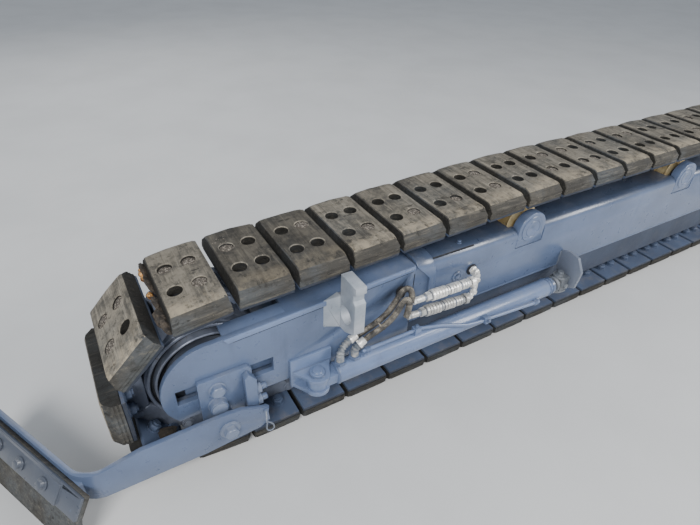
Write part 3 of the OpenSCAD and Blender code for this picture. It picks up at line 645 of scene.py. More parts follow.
def pebble(name, r, squash):
    """A small stone: an uneven, flattened lump at the origin."""
    o = settle(added("ico_sphere", subdivisions=1, radius=r / 1000), name)
    for v in o.data.vertices:
        v.co *= 1 + 0.28 * noise.noise(v.co * (900 / r) + Vector((r, 0, 0)))
        v.co.z *= squash
    o.data.materials.append(finish_of("packed_grit"))
    return o


def lump(name, place, size, finish, turn, detail=4):
    """A rough clod round a place in the row frame, size in millimetres along X, Y and Z."""
    o = added("ico_sphere", subdivisions=detail, radius=1)
    for v in o.data.vertices:
        k = 1 + 0.22 * noise.noise(v.co * 2.1 + Vector((size[0], size[1], 0))) + 0.10 * noise.noise(v.co * 6.3)
        v.co = Vector(v.co[i] * size[i] / 1000 * k for i in range(3))
    o.rotation_euler = (0, turn, 0)
    o.location = place
    settle(o, name)
    smooth(60)
    return dress(o, finish)


# ---------------------------------------------------------------- the closed track

IDLER_STEP, DRIVE_STEP = 45, 40     # degrees that one link takes round the idler and round the sprocket


def chain_pins():
    """Pin places (x, z) of the closed chain in unit millimetres, in order along the travel of the bottom run."""
    s = bpy.context.scene.unit_track
    pitch, count, level = s.pitch * 1000, s.shoes, s.pin_height * 1000
    idler, drive = Vector((0, AXLE_Z)), HUB.xz
    gap = -drive.x
    r1, r2 = idler.y - level, drive.y - level
    low, high = unit_box("carrier_caps")
    half, z = s.cap_half * 1000, s.carrier_line * 1000
    first, last = Vector((high.x - half, z)), Vector((low.x + half, z))

    def tangent(c, r, p, side):
        d = p - c
        return math.degrees(math.atan2(d.y, d.x)) + side * math.degrees(math.acos(r / d.length))

    def rim(c, r, a):
        return c + r * Vector((math.cos(math.radians(a)), math.sin(math.radians(a))))

    a1, a2 = tangent(idler, r1, first, -1), tangent(drive, r2, last, 1)
    t1, t2 = rim(idler, r1, a1), rim(drive, r2, a2)
    # The length of each stretch of the loop, and its pin place at t along it.
    stretches = ((gap, lambda t: Vector((t - gap, level))),
                 ((a1 + 90) / IDLER_STEP * pitch, lambda t: rim(idler, r1, -90 + t / pitch * IDLER_STEP)),
                 ((first - t1).length, lambda t: t1.lerp(first, t / (first - t1).length)),
                 ((first - last).length, lambda t: first.lerp(last, t / (first - last).length)),
                 ((t2 - last).length, lambda t: last.lerp(t2, t / (t2 - last).length)),
                 ((270 - a2) / DRIVE_STEP * pitch, lambda t: rim(drive, r2, a2 + t / pitch * DRIVE_STEP)))
    total, real = count * pitch, sum(span for span, _ in stretches)
    if abs(real - total) > 0.5:
        raise RuntimeError(f"the chain doesn't close: {real:.2f} against {total:.2f}")

    def place(t):
        t %= total
        for span, spot in stretches:
            if t <= span:
                break
            t -= span
        return spot(t)

    start = gap + 112.5 / IDLER_STEP * pitch
    return [place(start + i * pitch) for i in range(count)]


def link_frames():
    """For each link, a matrix whose X runs along the track and whose Z points out of the loop."""
    pins = chain_pins()
    out = []
    for a, b in zip(pins, pins[1:] + pins[:1]):
        d = (b - a).normalized()
        x, z = Vector((d.x, 0, d.y)), Vector((d.y, 0, -d.x))
        m = Matrix((x, z.cross(x), z)).transposed().to_4x4()
        m.translation = at((a.x + b.x) / 2, 0, (a.y + b.y) / 2)
        out.append(m)
    return out


def pad_master(sizes):
    """One bonded pad at the origin: grooved ends under a bevel, four bolt holes with worn rims."""
    w, l, t = sizes.pad_width * 500, sizes.pad_length * 500, sizes.pad_thickness * 1000
    b, h, base = sizes.end_bevel * 1000, sizes.end_bevel_height * 1000, PAD_BASE
    top, hole = base + t, sizes.hole_radius
    half = [(w, base), (w, base + 5), (w - 2.2, base + 6.5), (w - 2.2, base + 8), (w, base + 9.5), (w, base + 14),
            (w - 1.8, base + 15.4), (w - 1.8, base + 16.8), (w, base + 18.2), (w, top - h),
            (w - b * 0.45, top - h * 0.5), (w - b * 0.85, top - h * 0.13), (w - b * 1.15, top - 0.6),
            (w - b * 1.9, top), (w * 0.56, top), (w * 0.1, top)]
    stations = [-l, -l + 2.5, -l + 8, -l * 0.66, -l * 0.12, l * 0.12, l * 0.66, l - 8, l - 2.5, l]
    o = extruded([(-l / 1000, y / 1000, z / 1000) for y, z in half + [(-y, z) for y, z in reversed(half)]],
                 [((c - a) / 1000, 0, 0) for a, c in zip(stations, stations[1:])])
    for v in o.data.vertices:
        rise = max(0.0, v.co.z * 1000 - base - 8) / (t - 8)
        if v.co.x < -(l - 12) / 1000:
            v.co.x += 0.007 * rise
        if abs(v.co.x) > (l - 7.5) / 1000 and (v.co.x > 0 or v.co.x < -(l - 0.1 - 7 * rise) / 1000):
            if v.co.z > (top - h - 1) / 1000:
                v.co.z -= 0.0024
            v.co.y -= math.copysign(0.0016, v.co.y) if abs(v.co.y) > (w - 20) / 1000 else 0
    r = hole * 1000
    for x, y in CORNERS:
        cut(o, turned("hole", [(0, -26), (r, -26), (r, -2.4), (r + 2.4, 0.3), (r + 2.4, 8), (0, 8)],
                      (x * sizes.hole_along, y * sizes.hole_across, top / 1000), (0, 0, 1), 24))
    for name in ("tread_rubber", "tread_rubber_side", "deep_shadow", "hole_rim", "tread_rubber_gap_shade"):
        o.data.materials.append(finish_of(name))
    # Faces across the track, between the pads, and the walls of the holes take the darkened gap rubber as painted
    # shade; hole floors take deep shadow.
    for f in o.data.polygons:
        x, y, z = f.center
        f.material_index = 0 if f.normal.z > 0.85 and z > (top - 5) / 1000 else 4 if abs(f.normal.x) > 0.8 else 1
        if abs(y) < 0.08:
            away = math.hypot(abs(x) - sizes.hole_along, abs(y) - sizes.hole_across)
            if (base + 2) / 1000 < z < (top - 3) / 1000 and away < hole * 1.01:
                f.material_index = 2 if f.normal.z > 0.6 else 4
            elif z > (top - 3) / 1000 and away < hole + 0.0022 and f.normal.z < 0.95:
                f.material_index = 3
    pick(o)
    smooth(32)
    return o


def wear(o, sizes, seed, amount):
    """Bows the ends of a pad and wears its rims unevenly, leaving the holes alone."""
    w, l = sizes.pad_width / 2, sizes.pad_length / 2
    top = PAD_BASE / 1000 + sizes.pad_thickness
    for v in o.data.vertices:
        p = Vector(v.co)
        q = p * 26 + Vector((seed * 3.7, seed, 0))
        end = max(0.0, (abs(p.y) - (w - 0.030)) / 0.030)
        edge = max(0.0, (abs(p.x) - (l - 0.009)) / 0.009)
        high = max(0.0, (p.z - (top - 0.022)) / 0.022)
        n1, n2 = noise.noise(q), noise.noise(q * 3.1)
        p.y -= math.copysign(end * high * (0.0022 + 0.0052 * (p.x / l) ** 2 + 0.0018 * n1 + 0.001 * n2) * amount, p.y)
        p.z -= end * high * (0.0014 + 0.0016 * n2 + 0.0036 * (p.x / l) ** 2) * amount
        p.x -= math.copysign(edge * high * (0.0006 + 0.0011 * max(0, n2) + 0.0008 * n1) * amount, p.x)
        p.z -= edge * high * (0.0005 + 0.0015 * max(0.0, n2)) * amount
        v.co = p


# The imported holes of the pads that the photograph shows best, by pad and corner.
PACKED = {0: ((-1, -1), (-1, 1), (1, 1)), 1: ((1, 1), (1, -1), (-1, 1)), 2: ((-1, 1),), 3: ((1, 1),), 4: ((1, -1),),
          5: ((1, -1),), 6: ((1, -1),)}


def grit_masters(sizes):
    """Three fillings of a bolt hole: dried dirt with small stones pressed in."""
    out = []
    for kind in range(3):
        rng = random.Random(40 + kind)
        r = sizes.hole_radius * 1000
        parts = [turned("dirt", [(0, -1.0), (6, -0.4 - kind * 0.4), (13, -1.6), (r, -3.4), (r, -16), (0, -16)],
                        (0, 0, 0), (0, 0, 1), 18)]
        parts[0].data.materials.append(finish_of("packed_grit"))
        for _ in range(13):
            stone = pebble("stone", rng.uniform(2.2, 4.6), rng.uniform(0.5, 0.9))
            a, d = rng.uniform(0, 6.28), (rng.random() ** 0.6) * (r - 4)
            reach = max(v.co.z for v in stone.data.vertices)
            spot = (d * math.cos(a) / 1000, d * math.sin(a) / 1000, 0.0002 - reach - scatter(rng, 0, 1.6))
            stone.data.transform(Matrix.Translation(spot) @ Matrix.Rotation(a * 3, 4, "Z"))
            parts.append(stone)
        out.append(joined(f"grit_{kind}", parts))
    return out


class UNIT_OT_rubber_pads(bpy.types.Operator):
    """Rubber pads with four bolt holes each, some of them packed with grit"""
    bl_idname = "track_unit.rubber_pads"
    bl_label = "Rubber pads"

    def execute(self, context):
        sizes = context.scene.unit_track
        master = pad_master(sizes)
        top = (PAD_BASE + sizes.pad_thickness * 1000) / 1000
        plugs = grit_masters(sizes)
        rng = random.Random(7)
        groups = [[] for _ in range(8)]
        n = sizes.shoes
        for i, m in enumerate(link_frames()):
            pad = copied(master, f"pad_{i:02d}", Matrix.Identity(4))
            wear(pad, sizes, i, 1.0 if i in (0, n - 1) else 1.0 + 0.5 * rng.random())
            pad.data.transform(m)
            # Painted light and shade: the first pad gets a lit copy of the tread rubber, pads 2 and 3 a shaded copy.
            if i in (0, 2, 3):
                pad.data.materials[0] = finish_of("tread_rubber_lit" if i == 0 else "tread_rubber_shaded")
            if m.translation.z < 0.1:
                pad.data.materials[1] = finish_of("tread_rubber_low")
            parts = [pad]
            for x, y in CORNERS:
                roll, sink, turn, kind = rng.random(), scatter(rng, 0.4, 6), rng.random() * 6, rng.randrange(3)
                if (x, y) in PACKED[i] if i in PACKED else roll < sizes.packed_share:
                    spot = Matrix.Translation((x * sizes.hole_along, y * sizes.hole_across, top - sink))
                    parts.append(copied(plugs[kind], "plug", m @ spot @ Matrix.Rotation(turn, 4, "Z")))
            if i == 2:
                for _ in range(16):
                    spot = Matrix.Translation((-scatter(rng, 20, 58), scatter(rng, 60, 112), top - 0.0006))
                    parts.append(pebble("crumb", rng.uniform(1.4, 3.0), 0.7))
                    parts[-1].data.transform(m @ spot)
            groups[i * 8 // n].append(joined(f"pad_{i:02d}", parts))
        for key, parts in enumerate(groups):
            o = joined(f"rubber_pads_{key}", parts)
            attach(o, "frame")
            if key == 0:
                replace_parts(o, "rubber_pads")
        for o in (master, *plugs):
            bpy.data.objects.remove(o)
        return {"FINISHED"}


def shoe_nut(x, y):
    """Washer, nut and bolt end on the inner face of a shoe, in the link's own frame."""
    parts = [cylinder("nut", sides, r, high - low, (x, y, (low + high) / 2)) for sides, r, low, high in (
        (20, 0.0195, 0.0172, 0.0203), (6, 0.0170, 0.0035, 0.0173), (14, 0.0095, -0.0020, 0.0036))]
    soften(parts[1], 1.2, 1)
    return joined("nut", parts)


class UNIT_OT_track_links(bpy.types.Operator):
    """Steel shoes with their nuts, link bars with round bosses, and pins"""
    bl_idname = "track_unit.track_links"
    bl_label = "Shoes and links"

    def execute(self, context):
        sizes = context.scene.unit_track
        half, side = sizes.pitch * 500, sizes.link_gauge * 500
        c, e = half - 15, half - 3
        outline = [(-c, -30), (c, -30), (e, -12), (e, 8), (c, 20), (-c, 20), (-e, 8), (-e, -12)]
        across = (math.pi / 2, 0, 0)
        bars = []
        for s in (-1, 1):
            bar = extruded([(x / 1000, (s * side - 8) / 1000, z / 1000) for x, z in outline], [(0, 0.016, 0)])
            bars.append(soften(bar, 2.0, 1))
            bars += [cylinder("boss", 16, 0.0175, 0.012, (x * half / 1000, (s * side + x * 6) / 1000, 0), across)
                     for x in (-1, 1)]
        master = joined("link", bars + [cylinder("pin", 14, 0.0115, 0.130, (half / 1000, 0, 0), across)])
        smooth(40)
        frames = link_frames()
        chain = joined("chain_links", [copied(master, f"link_{i:02d}", m) for i, m in enumerate(frames)])
        dress(chain, "greasy_steel")
        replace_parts(chain, "track_chain")
        nuts = joined("shoe_nut", [shoe_nut(x * sizes.hole_along, y * sizes.nut_across) for x, y in CORNERS])
        smooth(40)
        dress(joined("shoe_nuts", [copied(nuts, f"nuts_{i:02d}", m) for i, m in enumerate(frames)]), "worn_track_steel")
        for o in (master, nuts):
            bpy.data.objects.remove(o)
        shoes = from_cad("track_shoes", 1.5, "worn_track_steel", 1)
        shoes.data.materials.append(finish_of("shoe_edge"))
        front, rear = middle("idler_axle"), middle("final_drive")
        for f in shoes.data.polygons:
            out = f.center - Vector((min(max(f.center.x, rear.x), front.x), DATUM.y, front.z))
            if abs(f.normal.y) > 0.3 or f.normal.xz.dot(out.xz.normalized()) > 0.5:
                f.material_index = 1
        # Clods by name: link, finish, turn, detail, and each clod's place in the link's frame and size.
        for name, link, finish, turn, detail, clods in (
                ("grease", 1, "copper_grease", 0.6, 3,
                 ((-84, 118, 33, (8, 9, 9)), (-84, 100, 30, (7, 11, 8)), (-84, 28, 27, (8, 11, 9)),
                  (-83, 132, 36, (5, 5, 6)))),
                ("soil", 1, "caked_soil", 0.6, 4,
                 ((-79, -76, 26, (14, 38, 24)), (-76, -116, 36, (9, 24, 18)), (-75, -22, 30, (8, 30, 20)),
                  (-73, 60, 36, (6, 40, 22)), (-73, 118, 38, (6, 34, 20)))),
                ("bottom_soil", 41, "damp_soil", 0, 4,
                 ((10, -104, 19.5, (40, 20, 5)), (-28, -126, 19.5, (26, 12, 4)), (20, 100, 19.5, (34, 24, 5))))):
            for i, (x, y, z, size) in enumerate(clods):
                spot = frames[link] @ Vector((x / 1000, y / 1000, z / 1000))
                lump(f"{name}_{i}", spot, size, finish, turn, detail)
        return {"FINISHED"}


class UNIT_OT_wheels(bpy.types.Operator):
    """Idler, rollers, sprocket and drive with rounded rims"""
    bl_idname = "track_unit.wheels"
    bl_label = "Wheels and drive"

    def execute(self, context):
        for node in ("idler", "sprocket", "bottom_rollers"):
            from_cad(node, 2.0, "greasy_steel")
        for s in (-1, 1):
            rings = [turned("rim", [(r - w, 0), (r, 0), (r, h - 2), (r - 2, h), (r - w + 2, h), (r - w, h - 2)],
                            at(0, s * 64.8, AXLE_Z), (0, s, 0), 72) for r, w, h in ((156, 9, 12), (138, 7, 24))]
            dress(joined(f"idler_rims_{s}", rings), "greasy_steel")
            fitted("dish", [(110, 0), (147.5, 0), (147.5, 1.2), (110, 1.2)], (0, s * 64.9, AXLE_Z), (0, s, 0),
                   "deep_shadow", 72)
        for node, edge, finish in (("carrier_rollers", 2.0, "bronze_tread"), ("final_drive", 2.5, "beam_paint"),
                                   ("carrier_caps", 2.5, "cap_paint"), ("idler_axle", 1.5, "shade_paint"),
                                   ("roller_shafts", 1.5, "bright_steel")):
            from_cad(node, edge, finish)
        low, high = unit_box("carrier_caps")
        half = context.scene.unit_track.cap_half * 1000
        for i, x in enumerate((low.x + half, high.x - half)):
            for s in (-1, 1):
                fitted(f"cap_ring_{i}_{s}", [(0, 0), (46, 0), (46, 1.4), (44.6, 2.6), (32, 2.6), (30.8, 1.2),
                                             (28, 1.2), (26.8, 2.4), (9, 2.4), (7, 1.4), (0, 1.4)],
                       (x, s * 131.8, high.z - half), (0, s, 0), "cap_paint", 56)
        for s, r, y, count in ((1, 78, 118.2, 12), (-1, 118, -159.2, 16), (-1, 76, -257.2, 12)):
            for k in range(count):
                a = 2 * math.pi * k / count
                hex_bolt(f"drive_bolt_{s}_{r}_{k}", (HUB.x + r * math.cos(a), y, HUB.z + r * math.sin(a)), (0, s, 0),
                         19, 9, 13, "beam_paint")
        fitted("drive_cover", [(0, 0), (62, 0), (62, 5), (58, 8), (30, 9), (26, 12), (0, 12)], (HUB.x, 117.7, HUB.z),
               (0, 1, 0), "beam_paint", 56)
        return {"FINISHED"}


def top_band(name, side, points, near, far, edge, finish):
    """A strip by the nose section's upper edge: points (x, drop below that edge), from near to far across."""
    low, high = unit_box("nose_section")
    s = bpy.context.scene.unit_track
    front = Vector((-5.6, AXLE_Z + (s.nose_rise + s.nose_radius) * 1000 - 0.1))
    outline = [(x, front.y + (high.z - front.y) * (front.x - x) / (front.x - low.x) - drop) for x, drop in points]
    dress(plate(f"{name}_{side}", outline, "Y", side * near, side * far, edge), finish)


class UNIT_OT_frame_sections(bpy.types.Operator):
    """Nose section with its top lip, rear beam, collar, guards and welds of the track frame"""
    bl_idname = "track_unit.frame_sections"
    bl_label = "Track frame"

    def execute(self, context):
        opening = (Matrix.Translation(at(-568, SKIN, 372)) @ Matrix.Rotation(0.35, 4, "Y")
                   @ Matrix.Diagonal((0.8, 1, 1.25, 1)))
        nose = from_cad("nose_section", 1.2, "frame_paint")
        tool = turned("opening", [(0, -30), (17, -30), (17, 30), (0, 30)], (0, 0, 0), (0, 1, 0), 32)
        tool.data.transform(opening)
        cut(nose, tool)
        # The roller guards' darkened steel is painted shade for the shadow they sit in under the beam.
        for node, edge, finish in (("rear_beam", 1.5, "beam_paint"), ("beam_collar", 1.5, "collar_paint"),
                                   ("roller_guards", 2.0, "shaded_guard_steel"), ("chassis_brackets", 2.0, "beam_paint")):
            from_cad(node, edge, finish)
        tail = NOSE_TAIL
        for s in (-1, 1):
            # The lip's lighter finish is a painted highlight along the nose's top edge.
            top_band("nose_lip", s, ((-36, 0.4), (-200, 0.4), (-400, 0.4), (-611, 0.4), (-611, 17), (-400, 17),
                                     (-200, 17), (-46, 17)), SKIN, SKIN + 4, 1.4, "lip_highlight_paint")
            top_band("nose_flange", s, ((-38, 1), (-216, 1), (-216, 10), (-38, 10)), 74, 119, 1.2, "frame_paint")
            seam = [(s * 119.6, 450.6), (s * 123.8, 447.2), (s * 124.4, 447.9), (s * 120.2, 451.3)]
            dress(plate(f"deck_seam_{s}", seam, "X", -662, -842, 0), "deep_shadow")
            top_band("lip_groove", s, ((-60, 17.4), (-608, 17.4), (-608, 21.4), (-60, 21.4)), SKIN - 0.4, SKIN + 0.6,
                     0, "deep_shadow")
            hex_bolt(f"deck_screw_{s}", (-803, s * 96, 455), (0, 0, 1), 12, 5, 8, "beam_paint")
            fitted(f"side_boss_{s}", [(0, 0), (20, 0), (20, 3), (18.6, 4.4), (13, 4.4), (12, 2.6), (9, 2.6),
                                      (8.4, 5.6), (0, 6.4)], (-783, s * SKIN, 356), (0, s, 0), "beam_paint", 36)
            joint = [(tail - 1.2, 238), (tail + 1.2, 238), (tail + 1.2, 424), (tail - 1.2, 424)]
            dress(plate(f"section_joint_{s}", joint, "Y", s * (SKIN - 0.5), s * (SKIN + 0.6), 0), "deep_shadow")
        rim = turned("opening_rim", [(16.4, 0), (19.5, 0), (19.5, 2.0), (16.4, 2.6)], (0, 0, 0), (0, 1, 0), 36)
        rim.data.transform(opening)
        dress(rim, "deep_shadow")
        fitted("hole_grommet", [(12.6, -2), (15, -2), (15, 0), (19, 0), (19.5, 2), (15, 4.6), (12.6, 3.6)],
               (-841, SKIN, 364), (0, 1, 0), "deep_shadow", 32)
        for i, (a, b, r) in enumerate((
                ((tail - 7, 90, 456), (tail - 7, 56, 456), 2.5),
                ((tail - 55, 134.5, 402), (tail - 53, 134.5, 338), 2.2),
                ((tail - 77, 134.5, 400), (tail - 77, 134.5, 338), 2.2),
                ((tail - 55, 134, 334), (tail - 76, 134, 334), 2.4))):
            weld(f"collar_weld_{i}", a, b, r, "beam_paint")
        last = unit_box("roller_guards")[0].x
        for s in (-1, 1):
            foot = rod(f"beam_foot_{s}", at(tail - 1, s * 128.2, 241), at(last, s * 128.2, 241), 5.6, 20)
            smooth(40)
            dress(foot, "beam_paint")
        low, high = (corner.z for corner in unit_box("chassis_brackets"))
        for i, x in enumerate((-860, -1960)):
            for z in (low, high):
                weld(f"bracket_weld_{i}_{z:.0f}", (x - 150, -136, z), (x + 150, -136, z), 3.4, "beam_paint")
            for k in (-1, 1):
                rib = plate(f"bracket_rib_{i}_{k}", [(-137, high - 4), (-137, high + 34), (-150, high + 36),
                                                     (-262, high + 4), (-262, high - 4)],
                            "X", x + k * 110 - 6, x + k * 110 + 6)
                dress(rib, "beam_paint")
        return {"FINISHED"}


class UNIT_OT_idler_slides(bpy.types.Operator):
    """Bearing plates of the idler with their bolts and guide rails, thrust lug and its bolts"""
    bl_idname = "track_unit.idler_slides"
    bl_label = "Idler slides"

    def execute(self, context):
        for node in ("idler_bearing_outer", "idler_bearing_inner", "stop_lug", "thrust_bolts"):
            from_cad(node, 1.5, "bolt_paint" if node == "thrust_bolts" else "frame_paint")
        z = AXLE_Z
        for s in (-1, 1):
            # Bolt faces: name, profile, x, y, z and sides.
            for name, profile, x, y, height, sides in (
                    ("axle_washer_{}", washer(23, 3.6), 0, 147, z, 40),
                    ("axle_crown_{}", [(0, 0), (16.6, 0), (15.4, 1.6), (0, 2.2)], 0, 161.9, z, 30),
                    ("boss_ring_{}_0", washer(26, 3.4, 1.6, 1.2), 5, 147, z - 54, 40),
                    ("boss_ring_{}_1", washer(20.5, 3.4, 1.6, 1.2), 5, 166.6, z - 54, 40)):
                fitted(name.format(s), profile, (x, s * y, height), (0, s, 0), "bolt_paint", sides)
            near, far = sorted((s * 104, s * 118))
            for k in (-1, 1):
                low, high = sorted((z + k * 27, z + k * 35))
                dress(block(f"slot_rail_{s}_{k}", (-190, near, low), (120, far, high), 1.5), "shade_paint")
            near, far = sorted((s * 97, s * 105))
            dress(block(f"slider_{s}", (-170, near, z - 27), (72, far, z + 27), 2.0), "beam_paint")
            weld(f"bearing_weld_{s}", (-95.5, s * 134, z - 110), (-95.5, s * 134, z + 26), 2.4, "frame_paint")
        for k, z in enumerate((PIVOT[1] + 34, PIVOT[1] + 78)):
            fitted(f"thrust_washer_{k}", washer(17, 2.8, 1, 0.8), (-99.3, 155, z), (-1, 0, 0), "bolt_paint", 32)
            thread = rippled(f"thrust_thread_{k}", [(-111, 155, z), (-127, 155, z)], 9.6, 2.6, 0.09, 18)
            dress(thread, "frame_paint")
        return {"FINISHED"}


def off_barrel(x, lean, reach):
    """The direction that leans so many degrees outboard, and the place that far from the cylinder's axis."""
    d = Vector((0, math.sin(math.radians(lean)), math.cos(math.radians(lean))))
    return d, Vector((x, *CYLINDER)) + d * reach


class UNIT_OT_tension_cylinder(bpy.types.Operator):
    """Cylinder between the clevis on the nose and the bracket on the beam"""
    bl_idname = "track_unit.tension_cylinder"
    bl_label = "Tension cylinder"

    def execute(self, context):
        for node in ("cylinder_clevis", "cylinder_barrel", "rod_bracket", "cylinder_pipe", "pipe_clamps", "clevis_pin"):
            from_cad(node, 1.5, "bracket_paint_lit" if node == "rod_bracket" else "cylinder_paint")
        y, z = CYLINDER
        up, back = (0, 0, 1), (-1, 0, 0)
        shank = from_cad("cylinder_rod", 1.5, "bright_steel")
        shank.data.materials.append(finish_of("knuckle_steel"))
        for f in shank.data.polygons:
            if f.center.x < at(-1244, 0, 0).x:
                f.material_index = 1
        eye = [turned("rod_ring", nut(29, 11, 2, 2, 17), at(-1224, y, z), back)]
        for low, high in ((219, 227), (161, 169)):
            eye.append(plate("rod_cheek", [(-1279, 150), (-1279, 201), (-1254, 201), (-1242, 197), (-1235, 188),
                                           (-1233, 175), (-1235, 163), (-1242, 154), (-1254, 150)],
                             "Z", low, high, 1.6))
        eye.append(turned("rod_pin_ring", washer(16, 3), at(-1255, y, 227), up, 36))
        dress(joined("rod_end_cheeks", eye), "knuckle_steel")
        for name, place, direction, across, height, r in (
                ("rod_pin_head", (-1255, y, 229.6), up, 22, 9, 14),
                ("rod_pin_nut", (-1255, y, 161), (0, 0, -1), 22, 9, 14),
                ("rod_side_bolt_-1", (-1262, y - 24.2, z), (0, -1, 0), 19, 8, 13),
                ("rod_side_bolt_1", (-1262, y + 24.2, z), (0, 1, 0), 19, 8, 13)):
            hex_bolt(name, place, direction, across, height, r, "knuckle_steel")
        lump("rod_soil", at(-1240, 164, 190), (9, 8, 14), "damp_soil", 0.3, 3)
        # Turned pieces: name, profile, place, axis, finish, sides and smoothing angle.
        bead = [(31.6, -3), (33.6, -2), (34.2, 0), (33.6, 2), (31.6, 3)]
        wiper = [(18.2, 0), (22, 0), (21, 4), (18.2, 5)]
        for row in (("barrel_bead_0", bead, (-331, y, z), (1, 0, 0), "frame_paint", 44),
                    ("barrel_bead_1", bead, (-1186, y, z), (1, 0, 0), "frame_paint", 44),
                    ("gland_nut", nut(31, 12.5, 1.5, 1.5, 18.6), (-1201, y, z), back, "frame_paint", 12),
                    ("rod_wiper", wiper, (-1213, y, z), back, "hose_cover", 30),
                    ("port_nut_0", nut(18.5, 10), (-345, y, z + 33), up, "frame_paint", 6, 20),
                    ("port_nut_1", nut(18.5, 10), (-393, y, z + 33), up, "frame_paint", 6, 20)):
            fitted(*row)
        for i, (x, lean, way) in enumerate(((-1110, 95, 1), (-423, 0, -1))):
            d, spot = off_barrel(x, lean, 33.5)
            fitted(f"pipe_nut_{i}", nut(13.4, 6.8, 0.8, 0.8), spot, d, "frame_paint", 6, 20)
            d, spot = off_barrel(x + 6 * way, lean, 44.3)
            fitted(f"pipe_sleeve_{i}", [(6, 0), (8.6, 0), (9, 1), (9, 15), (8, 16.5), (6, 17)], spot, (way, 0, 0),
                   "frame_paint", 6, 20)
        for i, (x, lean) in enumerate(((-613, 0), (-866, 72))):
            d, spot = off_barrel(x, lean, 53.5)
            hex_bolt(f"clamp_screw_{i}", spot, d, 12, 5, 8, "frame_paint")
        fitted("pin_collar", washer(24, 3.2, 1, 0.8, 15), (-272, y, z + 29.4), up, "frame_paint")
        for name, a, b, finish in (("clevis_weld_0", (-333, 135, 263), (-333, 135, 167), "frame_paint"),
                                   ("clevis_weld_1", (-207, 135, 263), (-207, 135, 167), "frame_paint"),
                                   ("clevis_weld_2", (-330, 143, 225), (-212, 143, 225), "frame_paint"),
                                   ("rod_weld_0", (-1293.5, 134.5, 240), (-1293.5, 134.5, 298), "bracket_paint_lit"),
                                   ("rod_weld_1", (-1278.5, 134.5, 240), (-1278.5, 134.5, 298), "bracket_paint_lit")):
            weld(name, a, b, 2.6, finish)
        hex_bolt("rod_end_nut", (-1292.2, y, z), back, 36, 14, 25, "bracket_paint_lit")
        return {"FINISHED"}


# A coupling from its front end: length from and to, radius, sides. The dark core shows in the grooves between.
COUPLING = ((0, 9, 11.2, 6), (10, 38, 10.2, 28), (46, 62, 14.2, 6),
            *((65 + 11 * k, 74 + 11 * k, 17.4, 30) for k in range(5)), (123, 129, 14.5, 30),
            *((132 + 10.5 * k, 140.5 + 10.5 * k, 16.4, 30) for k in range(4)),
            *((178 + 9 * k, 185 + 9 * k, 15.2, 30) for k in range(3)), (207, 214, 13.2, 6), (216, 229, 17.0, 30))


